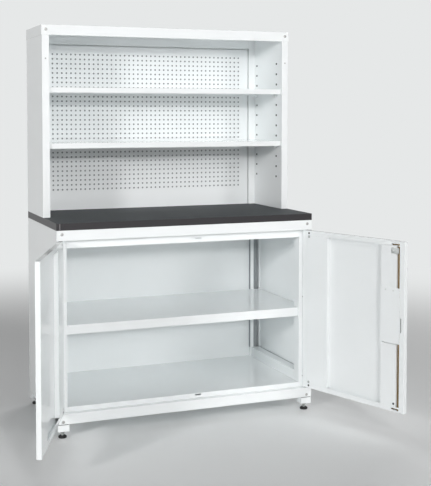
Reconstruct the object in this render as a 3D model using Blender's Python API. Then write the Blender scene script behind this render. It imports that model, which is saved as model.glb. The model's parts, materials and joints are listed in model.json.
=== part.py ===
"""Pegboard storage stand: two-door cabinet, worktop and open shelf unit with a pegboard back.

Frame of the build: X to the right, Y from front to back, Z up, metres. Pieces are modelled from the
cabinet's front left corner on the floor and then hang from one empty, which puts the middle of the
whole stand, doors open as photographed, over the world origin.
"""
import math

import bmesh
import bpy

# Overall sizes
WIDTH = 1.200
DEPTH = 0.600
BODY_HEIGHT = 0.828
TOP_THICK = 0.030
UPPER_HEIGHT = 0.855
UPPER_DEPTH = 0.340

# Sheet, gaps and clearances
SHEET = 0.0015
DOOR_SHEET = 0.0012
FIT = 0.0003
SWING_GAP = 0.0011
SLOT_GAP = 0.0015
BORE_GAP = 0.0003

# Fineness of round forms
PIN_SIDES = 12
HANDLE_SIDES = 16
PAD_SIDES = 20
LEVER_STEPS = 6
SMOOTH_DEG = 40.0
PLACE_DIGITS = 7

# Worktop
EDGING = 0.0017

# Feet
FOOT_BLOCK = 0.050
FOOT_BLOCK_HEIGHT = 0.034
FOOT_BLOCK_WALL = 0.003
FOOT_FLOOR = 0.006
FOOT_SET = 0.0005
STUD_RADIUS = 0.006
STUD_SHOW = 0.016
STUD_IN_BLOCK = 0.024
STUD_IN_PAD = 0.006
LOCK_NUT_RADIUS = 0.0105
LOCK_NUT_HEIGHT = 0.006
PAD_RADIUS = 0.0195
PAD_TOP_RADIUS = 0.0140
PAD_SKIRT = 0.008
PAD_HEIGHT = 0.012

# Cabinet carcass
APRON_HEIGHT = 0.045
STOP_RAIL_SHOW = 0.036
STOP_RAIL_FOLD = 0.030
PLINTH_HEIGHT = 0.044
PLINTH_FOLD = 0.026
FLOOR_RISE = 0.065
FLOOR_FOLD = 0.030
POST_WIDTH = 0.050
POST_DEPTH = 0.050
POST_HEM = 0.020
UPRIGHT_IN = 0.038
UPRIGHT_WIDTH = 0.018
UPRIGHT_DEPTH = 0.020
SIDE_RAIL_HEIGHT = 0.046
REAR_RAIL_HEIGHT = 0.045
REAR_RAIL_FOLD = 0.030

# Cabinet shelf
SHELF_TOP = 0.415
SHELF_LIP = 0.040
SHELF_HEM = 0.014
SHELF_REAR_LIP = 0.025
SHELF_SET = 0.012
SHELF_GAP = 0.0008
CLIP_WIDTH = 0.016
CLIP_REACH = 0.016
CLIP_DROP = 0.020
CLIP_FROM_BACK = 0.040

# Doors
DOOR_THICK = 0.020
DOOR_FRONT_SET = 0.001
DOOR_SIDE_SET = 0.005
DOOR_END_GAP = 0.002
DOOR_MID_GAP = 0.0026
DOOR_LIP = 0.026
DOOR_END_LIP = 0.022
PIVOT_IN = 0.020
PIN_RADIUS = 0.004
PIN_REACH = 0.010
PIN_COLLAR = 0.007
LEFT_OPEN_DEG = 111.3
RIGHT_OPEN_DEG = 109.3
CHANNEL_WIDTH = 0.108

# Lock on the right door
BAR_FROM_EDGE = 0.036
BAR_RADIUS = 0.005
BAR_PIN_RADIUS = 0.003
HOOK_WIDTH = 0.008
HOOK_NOSE = 0.006
HOOK_NOSE_LENGTH = 0.0055
HOOK_BEHIND = 0.002
HOOK_THICK = 0.004
HOOK_HUB = 0.0085
HOOK_FROM_TOP = 0.016
SLIT = 0.017
LOCK_CHANNEL_WIDTH = 0.100
LOCK_HEIGHT = 0.522
COVER_LENGTH = 0.240
CASE_LENGTH = 0.150
CASE_WIDTH = 0.068
CASE_SET = 0.0010
CASE_WALL = 0.0030
SPINDLE_FROM_BAR = 0.030
SPINDLE_RISE = 0.026
SPINDLE_RADIUS = 0.005
SPINDLE_DEPTH = 0.012
CYLINDER_DROP = 0.034
CYLINDER_RADIUS = 0.0085
CYLINDER_SHOW = 0.003
KEY_SLOT = 0.0018
KEY_SLOT_DEPTH = 0.004
BACKPLATE_WIDTH = 0.036
BACKPLATE_LENGTH = 0.150
BACKPLATE_THICK = 0.005
BOSS_RADIUS = 0.011
BOSS_LENGTH = 0.018
LEVER_LENGTH = 0.105
LEVER_WIDTH = 0.018
LEVER_THICK = 0.011
LIP_SLOT_SET = 0.005
LIP_SLOT_WIDTH = 0.005
LIP_SLOT_LENGTH = 0.062
LIP_SLOT_DROP = 0.038

# Upper unit
UPPER_SIDE = 0.032
HEADER = 0.045
BACK_SPACE = 0.018
REAR_STRIP = 0.034
UPPER_RAIL = 0.078
UPPER_RAIL_FOLD = 0.004
PEG_SET = 0.010
PEG_SHEET = 0.0012
PEG_PITCH = 0.0223
PEG_HOLE = 0.0088
PEG_SIDE_MARGIN = 0.050
PEG_LOW_MARGIN = 0.092
PEG_TOP_MARGIN = 0.030
# The solid carries each second hole of the real grid both ways, to keep the node small
PEG_STRIDE = 2
HOLE_PITCH = 0.050
HOLE_FIRST = 0.149
HOLE_TOP_MARGIN = 0.150
HOLE_FRONT = 0.064
HOLE_REAR = 0.043
HOLE_WIDTH = 0.005
HOLE_HEIGHT = 0.010
UPPER_SHELF_LIP = 0.024
UPPER_SHELF_SET = 0.010
UPPER_SHELF_OVER_HOLE = 0.007
UPPER_CLIP_WIDTH = 0.018
UPPER_CLIP_REACH = 0.014
UPPER_CLIP_HEIGHT = 0.012
LOW_SHELF_ROW = 3
HIGH_SHELF_ROW = 8

# Levels and planes worked out from the sizes
BODY_LOW = PAD_HEIGHT + STUD_SHOW + FOOT_BLOCK_HEIGHT
BODY_HIGH = BODY_LOW + BODY_HEIGHT
TOP_HIGH = BODY_HIGH + TOP_THICK
UPPER_LOW = TOP_HIGH + FIT
UPPER_HIGH = TOP_HIGH + UPPER_HEIGHT
UPPER_FRONT = DEPTH - UPPER_DEPTH
CARCASS_HIGH = BODY_HIGH - FIT
FLOOR_HIGH = BODY_LOW + FLOOR_RISE
INNER_LEFT = SHEET + FIT
INNER_BACK = DEPTH - SHEET - FIT
DOOR_LOW = BODY_LOW + PLINTH_HEIGHT + DOOR_END_GAP
DOOR_HIGH = BODY_HIGH - APRON_HEIGHT - DOOR_END_GAP
DOOR_BACK = DOOR_FRONT_SET + DOOR_THICK
PIVOT_Y = DOOR_FRONT_SET + DOOR_THICK / 2
DOOR_HINGE_REACH = PIVOT_IN - DOOR_SIDE_SET
DOOR_FREE_REACH = WIDTH / 2 - DOOR_MID_GAP / 2 - PIVOT_IN
SWEEP = math.hypot(DOOR_HINGE_REACH, DOOR_THICK / 2)
FRAME_Y = PIVOT_Y + SWEEP + SWING_GAP
POST_BACK = FRAME_Y + POST_DEPTH
BAR_X = WIDTH / 2 + DOOR_MID_GAP / 2 + BAR_FROM_EDGE
HOOK_LENGTH = FRAME_Y + SHEET - PIVOT_Y + HOOK_BEHIND + HOOK_NOSE_LENGTH
HOOK_HIGH_Z = DOOR_HIGH - HOOK_FROM_TOP
HOOK_LOW_Z = FLOOR_HIGH - SHEET - SLOT_GAP - FIT - HOOK_THICK
POST_FACE = DEPTH - BACK_SPACE
UPPER_CEILING = UPPER_HIGH - SHEET - FIT
RAIL_LOW = UPPER_HIGH - UPPER_RAIL

# Finishes: colour, roughness, metallic
WHITE = ((0.86, 0.87, 0.87), 0.35, 0.0)
SLATE = ((0.075, 0.080, 0.082), 0.45, 0.0)
EDGE_BLACK = ((0.030, 0.028, 0.030), 0.50, 0.0)
ZINC = ((0.62, 0.62, 0.60), 0.35, 1.0)
BRASS_ZINC = ((0.45, 0.36, 0.22), 0.40, 1.0)
RUBBER = ((0.012, 0.012, 0.012), 0.70, 0.0)
CHROME = ((0.70, 0.71, 0.72), 0.20, 1.0)


def clear_scene():
    """Remove every object of the scene."""
    for thing in list(bpy.data.objects):
        bpy.data.objects.remove(thing, do_unlink=True)


def finish_of(name, finish):
    """Make one piece's own material from a colour, a roughness and a metallic value."""
    colour, roughness, metallic = finish
    material = bpy.data.materials.new(name + "_finish")
    material.use_nodes = True
    shader = material.node_tree.nodes["Principled BSDF"]
    shader.inputs["Base Color"].default_value = (*colour, 1.0)
    shader.inputs["Roughness"].default_value = roughness
    shader.inputs["Metallic"].default_value = metallic
    return material


def object_from(name, shape):
    """Turn a bmesh into a linked object and free the bmesh."""
    bmesh.ops.recalc_face_normals(shape, faces=shape.faces)
    mesh = bpy.data.meshes.new(name)
    shape.to_mesh(mesh)
    shape.free()
    thing = bpy.data.objects.new(name, mesh)
    bpy.context.scene.collection.objects.link(thing)
    return thing


def block(name, x, y, z):
    """Make a box from three (low, high) pairs."""
    shape = bmesh.new()
    made = bmesh.ops.create_cube(shape, size=1.0)
    for vert in made["verts"]:
        vert.co.x = x[0] if vert.co.x < 0 else x[1]
        vert.co.y = y[0] if vert.co.y < 0 else y[1]
        vert.co.z = z[0] if vert.co.z < 0 else z[1]
    return object_from(name, shape)


def fold(name, axis, outline, span):
    """Extrude a sheet's outline along one axis: x takes (y, z) points, y (x, z) and z (x, y)."""
    shape = bmesh.new()
    low, high = span
    place = {
        "x": lambda a, b: (low, a, b),
        "y": lambda a, b: (a, low, b),
        "z": lambda a, b: (a, b, low),
    }[axis]
    direction = {
        "x": (high - low, 0.0, 0.0),
        "y": (0.0, high - low, 0.0),
        "z": (0.0, 0.0, high - low),
    }[axis]
    face = shape.faces.new([shape.verts.new(place(a, b)) for a, b in outline])
    made = bmesh.ops.extrude_face_region(shape, geom=[face])
    moved = [item for item in made["geom"] if isinstance(item, bmesh.types.BMVert)]
    bmesh.ops.translate(shape, vec=direction, verts=moved)
    return object_from(name, shape)


def turned(name, axis, centre, profile, sides):
    """Turn (radius, height) points, listed from one end to the other, about an axis of x, y or z."""
    shape = bmesh.new()
    rings = []
    for radius, height in profile:
        ring = []
        for step in range(sides):
            angle = 2 * math.pi * (step + 0.5) / sides
            across = radius * math.cos(angle)
            along = radius * math.sin(angle)
            point = {
                "x": (height, across, along),
                "y": (across, height, along),
                "z": (across, along, height),
            }[axis]
            ring.append(shape.verts.new([c + p for c, p in zip(centre, point)]))
        rings.append(ring)
    for lower, upper in zip(rings, rings[1:]):
        for step in range(sides):
            following = (step + 1) % sides
            shape.faces.new((lower[step], lower[following], upper[following], upper[step]))
    shape.faces.new(rings[0])
    shape.faces.new(rings[-1])
    thing = object_from(name, shape)
    thing.data.shade_smooth()
    thing.data.set_sharp_from_angle(angle=math.radians(SMOOTH_DEG))
    return thing


def combine(thing, tools, operation):
    """Cut tools from an object, or join them to it, and remove the tools."""
    for tool in tools:
        change = thing.modifiers.new("combine", "BOOLEAN")
        change.operation = operation
        change.solver = "EXACT"
        change.object = tool
    graph = bpy.context.evaluated_depsgraph_get()
    thing_mesh = bpy.data.meshes.new_from_object(thing.evaluated_get(graph))
    thing.modifiers.clear()
    thing.data = thing_mesh
    for tool in tools:
        bpy.data.objects.remove(tool, do_unlink=True)
    return thing


def cut(thing, *tools):
    """Cut tools from an object."""
    return combine(thing, tools, "DIFFERENCE")


def join(thing, *tools):
    """Join tools to an object."""
    return combine(thing, tools, "UNION")


def perforated(across, upright, columns, rows, hole):
    """Make a flat sheet in X and Z, at Y 0, with a regular grid of square-cornered holes.

    across and upright are the sheet's (low, high) spans, columns and rows the holes' middles and
    hole their (width, height). The sheet is pushed back to its thickness by the caller.
    """
    shape = bmesh.new()
    points = {}

    def vert(x, z):
        key = (round(x, PLACE_DIGITS), round(z, PLACE_DIGITS))
        if key not in points:
            points[key] = shape.verts.new((x, 0.0, z))
        return points[key]

    edges = [across[0]]
    for middle in columns:
        edges.append(middle - hole[0] / 2)
        edges.append(middle + hole[0] / 2)
    edges.append(across[1])
    below = [across[0], across[1]]
    level = upright[0]
    for middle in rows:
        low = middle - hole[1] / 2
        high = middle + hole[1] / 2
        strip = [vert(x, level) for x in below] + [vert(x, low) for x in reversed(edges)]
        shape.faces.new(strip)
        for left, right in zip(edges[0::2], edges[1::2]):
            shape.faces.new((vert(left, low), vert(right, low), vert(right, high), vert(left, high)))
        below = edges
        level = high
    last = [vert(x, level) for x in below] + [vert(across[1], upright[1]), vert(across[0], upright[1])]
    shape.faces.new(last)
    return shape


def thicken(name, shape, depth):
    """Push a flat sheet's faces back along Y by its thickness and make it an object."""
    made = bmesh.ops.extrude_face_region(shape, geom=list(shape.faces))
    moved = [item for item in made["geom"] if isinstance(item, bmesh.types.BMVert)]
    bmesh.ops.translate(shape, vec=(0.0, depth, 0.0), verts=moved)
    return object_from(name, shape)


def mirrored(x_span):
    """Give the right-hand twin of a left-hand (low, high) span of X."""
    return (WIDTH - x_span[1], WIDTH - x_span[0])


def mirrored_outline(outline):
    """Give the right-hand twin of a left-hand outline whose first value is X."""
    return [(WIDTH - a, b) for a, b in reversed(outline)]


def hand_over(thing, parent, finish):
    """Give a piece its finish and hang it from its parent empty."""
    thing.data.materials.clear()
    thing.data.materials.append(finish_of(thing.name, finish))
    thing.parent = parent


def empty(name, parent, place, turn=0.0):
    """Add an empty at a place of its parent, turned about Z."""
    thing = bpy.data.objects.new(name, None)
    thing.location = place
    thing.rotation_euler = (0.0, 0.0, turn)
    thing.parent = parent
    bpy.context.scene.collection.objects.link(thing)
    return thing


def door_corner(side, along, outward):
    """Give the plan place of a point of an open door.

    side is "left" or "right", along runs from the pivot to the free edge and outward from the
    door's middle plane to its outer face.
    """
    if side == "left":
        turn = math.radians(LEFT_OPEN_DEG)
        return (
            PIVOT_IN + along * math.cos(turn) - outward * math.sin(turn),
            PIVOT_Y - along * math.sin(turn) - outward * math.cos(turn),
        )
    turn = math.radians(RIGHT_OPEN_DEG)
    return (
        WIDTH - PIVOT_IN - along * math.cos(turn) + outward * math.sin(turn),
        PIVOT_Y - along * math.sin(turn) - outward * math.cos(turn),
    )


def plan_middle():
    """Give the middle of the stand's plan with both doors at their photographed angles."""
    half = DOOR_THICK / 2
    lever = half + FIT + BACKPLATE_THICK + FIT + BOSS_LENGTH
    lever_along = DOOR_FREE_REACH - BAR_FROM_EDGE - SPINDLE_FROM_BAR + LEVER_WIDTH / 2
    corners = [(0.0, DEPTH), (WIDTH, DEPTH)]
    for side in ("left", "right"):
        for outward in (-half, half):
            corners.append(door_corner(side, DOOR_FREE_REACH, outward))
    corners.append(door_corner("right", lever_along, lever))
    across = [corner[0] for corner in corners]
    deep = [corner[1] for corner in corners]
    return ((min(across) + max(across)) / 2, (min(deep) + max(deep)) / 2)


def add_worktop(root):
    """Add the worktop's board and the banding round its four edges."""
    inset = EDGING + FIT
    board = block("worktop_board", (inset, WIDTH - inset), (inset, DEPTH - inset), (BODY_HIGH, TOP_HIGH))
    hand_over(board, root, SLATE)
    banding = block("worktop_edging", (0.0, WIDTH), (0.0, DEPTH), (BODY_HIGH, TOP_HIGH))
    inside = block(
        "inside",
        (EDGING, WIDTH - EDGING),
        (EDGING, DEPTH - EDGING),
        (BODY_HIGH - EDGING, TOP_HIGH + EDGING),
    )
    hand_over(cut(banding, inside), root, EDGE_BLACK)


def add_carcass_panels(root):
    """Add the cabinet's sides and back."""
    span = (BODY_LOW, CARCASS_HIGH)
    hand_over(block("cabinet_left_side", (0.0, SHEET), (0.0, DEPTH), span), root, WHITE)
    right = block("cabinet_right_side", (WIDTH - SHEET, WIDTH), (0.0, DEPTH), span)
    hand_over(right, root, WHITE)
    back = block("cabinet_back", (INNER_LEFT, WIDTH - INNER_LEFT), (DEPTH - SHEET, DEPTH), span)
    hand_over(back, root, WHITE)


def add_posts(root):
    """Add the folded front posts and the rear shelf uprights."""
    hem = POST_WIDTH - POST_HEM
    outline = [
        (INNER_LEFT, FRAME_Y),
        (POST_WIDTH, FRAME_Y),
        (POST_WIDTH, POST_BACK),
        (hem, POST_BACK),
        (hem, POST_BACK - SHEET),
        (POST_WIDTH - SHEET, POST_BACK - SHEET),
        (POST_WIDTH - SHEET, FRAME_Y + SHEET),
        (INNER_LEFT, FRAME_Y + SHEET),
    ]
    span = (BODY_LOW, CARCASS_HIGH)
    hand_over(fold("front_left_post", "z", outline, span), root, WHITE)
    hand_over(fold("front_right_post", "z", mirrored_outline(outline), span), root, WHITE)
    near = UPRIGHT_IN
    far = near + UPRIGHT_WIDTH
    face = INNER_BACK - UPRIGHT_DEPTH
    outline = [
        (near, face),
        (far, face),
        (far, INNER_BACK),
        (far - SHEET, INNER_BACK),
        (far - SHEET, face + SHEET),
        (near + SHEET, face + SHEET),
        (near + SHEET, INNER_BACK),
        (near, INNER_BACK),
    ]
    span = (FLOOR_HIGH + FIT, BODY_HIGH - REAR_RAIL_HEIGHT - FIT)
    hand_over(fold("rear_left_upright", "z", outline, span), root, WHITE)
    hand_over(fold("rear_right_upright", "z", mirrored_outline(outline), span), root, WHITE)


def channel_outline(face, legs, low, high):
    """Give the (y, z) outline of a rail folded from sheet: an upright face and two legs from it."""
    inner_face = face + math.copysign(SHEET, legs - face)
    return [
        (face, low),
        (legs, low),
        (legs, low + SHEET),
        (inner_face, low + SHEET),
        (inner_face, high - SHEET),
        (legs, high - SHEET),
        (legs, high),
        (face, high),
    ]


def pivot_bores(z):
    """Make the two cutters for the doors' pivot pins at a (low, high) span of Z."""
    radius = PIN_RADIUS + BORE_GAP
    profile = [(radius, z[0]), (radius, z[1])]
    return [
        turned("bore", "z", (PIVOT_IN, PIVOT_Y, 0.0), profile, PIN_SIDES),
        turned("bore", "z", (WIDTH - PIVOT_IN, PIVOT_Y, 0.0), profile, PIN_SIDES),
    ]


def hook_slot(z):
    """Make the cutter of a strike slot, wide enough for the hook to swing in, about a height."""
    reach = math.hypot(HOOK_LENGTH, HOOK_WIDTH / 2 + HOOK_NOSE)
    swing = math.sqrt(max(reach ** 2 - (FRAME_Y - PIVOT_Y) ** 2, 0.0))
    half = HOOK_THICK / 2 + SLOT_GAP
    return block(
        "slot",
        (BAR_X - HOOK_WIDTH / 2 - SLOT_GAP, BAR_X + swing + SLOT_GAP),
        (FRAME_Y - SHEET, FRAME_Y + 2 * SHEET),
        (z - half, z + half),
    )


def add_rails(root):
    """Add the apron, the door stop rail behind it, both plinths and the rear top rail."""
    full = (INNER_LEFT, WIDTH - INNER_LEFT)
    between = (POST_WIDTH + FIT, WIDTH - POST_WIDTH - FIT)
    leg = FRAME_Y - FIT
    apron_low = BODY_HIGH - APRON_HEIGHT
    apron = fold("front_apron", "x", channel_outline(0.0, leg, apron_low, CARCASS_HIGH), full)
    cut(apron, *pivot_bores((apron_low - SHEET, apron_low + 2 * SHEET)))
    hand_over(apron, root, WHITE)

    stop_low = apron_low - STOP_RAIL_SHOW
    stop = channel_outline(FRAME_Y, FRAME_Y + STOP_RAIL_FOLD, stop_low, CARCASS_HIGH)
    hand_over(cut(fold("door_stop_rail", "x", stop, between), hook_slot(HOOK_HIGH_Z)), root, WHITE)

    plinth_high = BODY_LOW + PLINTH_HEIGHT
    plinth = fold("front_plinth", "x", channel_outline(0.0, leg, BODY_LOW, plinth_high), full)
    cut(plinth, *pivot_bores((plinth_high - 2 * SHEET, plinth_high + SHEET)))
    hand_over(plinth, root, WHITE)

    rear = channel_outline(INNER_BACK, INNER_BACK - PLINTH_FOLD, BODY_LOW, plinth_high)
    hand_over(fold("rear_plinth", "x", rear, full), root, WHITE)

    rail_low = BODY_HIGH - REAR_RAIL_HEIGHT
    rail = channel_outline(INNER_BACK - REAR_RAIL_FOLD, INNER_BACK, rail_low, CARCASS_HIGH)
    hand_over(fold("rear_top_rail", "x", rail, full), root, WHITE)


def add_floor(root):
    """Add the floor with its recessed front lip, and the rails along both of its sides."""
    low = FLOOR_HIGH - SHEET
    outline = [
        (FRAME_Y, BODY_LOW),
        (FRAME_Y + FLOOR_FOLD, BODY_LOW),
        (FRAME_Y + FLOOR_FOLD, BODY_LOW + SHEET),
        (FRAME_Y + SHEET, BODY_LOW + SHEET),
        (FRAME_Y + SHEET, low),
        (INNER_BACK, low),
        (INNER_BACK, FLOOR_HIGH),
        (FRAME_Y, FLOOR_HIGH),
    ]
    floor = fold("cabinet_floor", "x", outline, (INNER_LEFT, WIDTH - INNER_LEFT))
    notch = (0.0, POST_WIDTH + FIT)
    deep = (0.0, POST_BACK + FIT)
    tall = (BODY_LOW - SHEET, FLOOR_HIGH + SHEET)
    left = block("notch", notch, deep, tall)
    right = block("notch", mirrored(notch), deep, tall)
    hand_over(cut(floor, left, right, hook_slot(HOOK_LOW_Z)), root, WHITE)

    top = FLOOR_HIGH + SIDE_RAIL_HEIGHT
    outline = [
        (INNER_LEFT, top - SHEET),
        (POST_WIDTH - SHEET, top - SHEET),
        (POST_WIDTH - SHEET, FLOOR_HIGH + FIT),
        (POST_WIDTH, FLOOR_HIGH + FIT),
        (POST_WIDTH, top),
        (INNER_LEFT, top),
    ]
    span = (POST_BACK + FIT, INNER_BACK - UPRIGHT_DEPTH - FIT)
    hand_over(fold("floor_left_rail", "y", outline, span), root, WHITE)
    hand_over(fold("floor_right_rail", "y", mirrored_outline(outline), span), root, WHITE)


def add_cabinet_shelf(root):
    """Add the cabinet's shelf, notched round the front posts, and its four clips."""
    top = BODY_LOW + SHELF_TOP
    front = FRAME_Y + SHELF_SET
    back = INNER_BACK - UPRIGHT_DEPTH - FIT
    outline = [
        (front, top - SHELF_LIP),
        (front + SHELF_HEM, top - SHELF_LIP),
        (front + SHELF_HEM, top - SHELF_LIP + SHEET),
        (front + SHEET, top - SHELF_LIP + SHEET),
        (front + SHEET, top - SHEET),
        (back - SHEET, top - SHEET),
        (back - SHEET, top - SHELF_REAR_LIP),
        (back, top - SHELF_REAR_LIP),
        (back, top),
        (front, top),
    ]
    edge = SHEET + SHELF_GAP
    shelf = fold("cabinet_shelf", "x", outline, (edge, WIDTH - edge))
    notch = (0.0, POST_WIDTH + SHELF_GAP)
    deep = (0.0, POST_BACK + SHELF_GAP)
    tall = (top - SHELF_LIP - SHEET, top + SHEET)
    left = block("notch", notch, deep, tall)
    hand_over(cut(shelf, left, block("notch", mirrored(notch), deep, tall)), root, WHITE)

    rest = top - SHEET - FIT
    middle_front = POST_BACK - CLIP_WIDTH / 2
    places = (
        ("front", POST_WIDTH + FIT, middle_front),
        ("rear", INNER_LEFT, back - CLIP_FROM_BACK),
    )
    for end, wall, middle in places:
        outline = [
            (wall, rest),
            (wall, rest - CLIP_DROP),
            (wall + SHEET, rest - CLIP_DROP),
            (wall + SHEET, rest - SHEET),
            (wall + CLIP_REACH, rest - SHEET),
            (wall + CLIP_REACH, rest),
        ]
        span = (middle - CLIP_WIDTH / 2, middle + CLIP_WIDTH / 2)
        hand_over(fold("shelf_clip_left_" + end, "y", outline, span), root, ZINC)
        twin = fold("shelf_clip_right_" + end, "y", mirrored_outline(outline), span)
        hand_over(twin, root, ZINC)


def add_foot(root, name, x, y):
    """Add one foot: its block, and the stud with its lock nut and the pad that screw down from it."""
    half = FOOT_BLOCK / 2
    low = PAD_HEIGHT + STUD_SHOW
    foot = block(
        "foot_block_" + name,
        (x - half, x + half),
        (y - half, y + half),
        (low, BODY_LOW - FIT),
    )
    inside = half - FOOT_BLOCK_WALL
    hollow = block(
        "hollow",
        (x - inside, x + inside),
        (y - inside, y + inside),
        (low + FOOT_FLOOR, BODY_LOW + FOOT_FLOOR),
    )
    radius = STUD_RADIUS + BORE_GAP
    profile = [(radius, low - FIT), (radius, low + 2 * FOOT_FLOOR)]
    bore = turned("bore", "z", (x, y, 0.0), profile, PIN_SIDES)
    hand_over(cut(foot, hollow, bore), root, WHITE)

    axis = empty("foot_axis_" + name, root, (x, y, 0.0))
    seat = PAD_HEIGHT - STUD_IN_PAD
    nut_high = low - FIT
    nut_low = nut_high - LOCK_NUT_HEIGHT
    profile = [
        (STUD_RADIUS, seat),
        (STUD_RADIUS, nut_low),
        (LOCK_NUT_RADIUS, nut_low),
        (LOCK_NUT_RADIUS, nut_high),
        (STUD_RADIUS, nut_high),
        (STUD_RADIUS, low + STUD_IN_BLOCK),
    ]
    hand_over(turned("foot_stud_" + name, "z", (0.0, 0.0, 0.0), profile, PIN_SIDES), axis, ZINC)
    bore_low = seat - FIT
    profile = [(PAD_RADIUS, 0.0), (PAD_RADIUS, PAD_SKIRT), (PAD_TOP_RADIUS, PAD_HEIGHT)]
    pad = turned("foot_pad_" + name, "z", (0.0, 0.0, 0.0), profile, PAD_SIDES)
    profile = [(radius, bore_low), (radius, PAD_HEIGHT + PAD_SKIRT)]
    hand_over(cut(pad, turned("bore", "z", (0.0, 0.0, 0.0), profile, PIN_SIDES)), axis, RUBBER)


def add_feet(root):
    """Add the four feet under the cabinet's corners."""
    near = FOOT_SET + FOOT_BLOCK / 2
    for side, x in (("left", near), ("right", WIDTH - near)):
        for end, y in (("front", near), ("rear", DEPTH - near)):
            add_foot(root, side + "_" + end, x, y)


def door_pan(name):
    """Make a left-hand door pan, closed, about its pivot: outer sheet, returns, lips and pins."""
    hinge = -DOOR_HINGE_REACH
    free = DOOR_FREE_REACH
    half = DOOR_THICK / 2
    pan = block(name, (hinge, free), (-half, half), (DOOR_LOW, DOOR_HIGH))
    inside = block(
        "inside",
        (hinge + DOOR_SHEET, free - DOOR_SHEET),
        (DOOR_SHEET - half, half - DOOR_SHEET),
        (DOOR_LOW + DOOR_SHEET, DOOR_HIGH - DOOR_SHEET),
    )
    window = block(
        "window",
        (hinge + DOOR_LIP, free - DOOR_LIP),
        (0.0, DOOR_THICK),
        (DOOR_LOW + DOOR_END_LIP, DOOR_HIGH - DOOR_END_LIP),
    )
    cut(pan, inside, window)
    top = [
        (PIN_RADIUS, DOOR_HIGH - DOOR_SHEET / 2),
        (PIN_RADIUS, DOOR_HIGH + DOOR_END_GAP + PIN_REACH),
    ]
    foot = DOOR_LOW - DOOR_END_GAP
    bottom = [
        (PIN_RADIUS, foot - PIN_REACH),
        (PIN_RADIUS, foot + FIT),
        (PIN_COLLAR, foot + FIT),
        (PIN_COLLAR, DOOR_LOW + DOOR_SHEET / 2),
    ]
    upper_pin = turned("pin", "z", (0.0, 0.0, 0.0), top, PIN_SIDES)
    lower_pin = turned("pin", "z", (0.0, 0.0, 0.0), bottom, PIN_SIDES)
    return join(pan, upper_pin, lower_pin)


def door_channel(name, near, width):
    """Make an upright stiffening channel between a door's end lips, open to the outer sheet."""
    half = DOOR_THICK / 2
    floor = DOOR_SHEET + FIT - half
    far = near + width
    outline = [
        (near, floor),
        (near + DOOR_SHEET, floor),
        (near + DOOR_SHEET, half - DOOR_SHEET),
        (far - DOOR_SHEET, half - DOOR_SHEET),
        (far - DOOR_SHEET, floor),
        (far, floor),
        (far, half),
        (near, half),
    ]
    inset = DOOR_END_LIP + FIT
    return fold(name, "z", outline, (DOOR_LOW + inset, DOOR_HIGH - inset))


def flip(thing, middle=0.0):
    """Mirror a left-hand piece across the upright plane at a middle X, to make its right-hand twin."""
    for vert in thing.data.vertices:
        vert.co.x = 2 * middle - vert.co.x
    shape = bmesh.new()
    shape.from_mesh(thing.data)
    bmesh.ops.recalc_face_normals(shape, faces=shape.faces)
    shape.to_mesh(thing.data)
    shape.free()
    return thing


def add_left_door(root):
    """Add the left door, open, on its pivot."""
    pivot = empty("left_door_pivot", root, (PIVOT_IN, PIVOT_Y, 0.0), -math.radians(LEFT_OPEN_DEG))
    hand_over(door_pan("left_door_pan"), pivot, WHITE)
    near = DOOR_LIP + FIT - DOOR_HINGE_REACH
    hand_over(door_channel("left_door_hinge_channel", near, CHANNEL_WIDTH), pivot, WHITE)
    near = DOOR_FREE_REACH - DOOR_LIP - FIT - CHANNEL_WIDTH
    hand_over(door_channel("left_door_free_channel", near, CHANNEL_WIDTH), pivot, WHITE)


def lock_places():
    """Give the door-frame X of the latch bar and the spindle, before the right door is mirrored."""
    bar = DOOR_FREE_REACH - BAR_FROM_EDGE
    return bar, bar - SPINDLE_FROM_BAR


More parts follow.
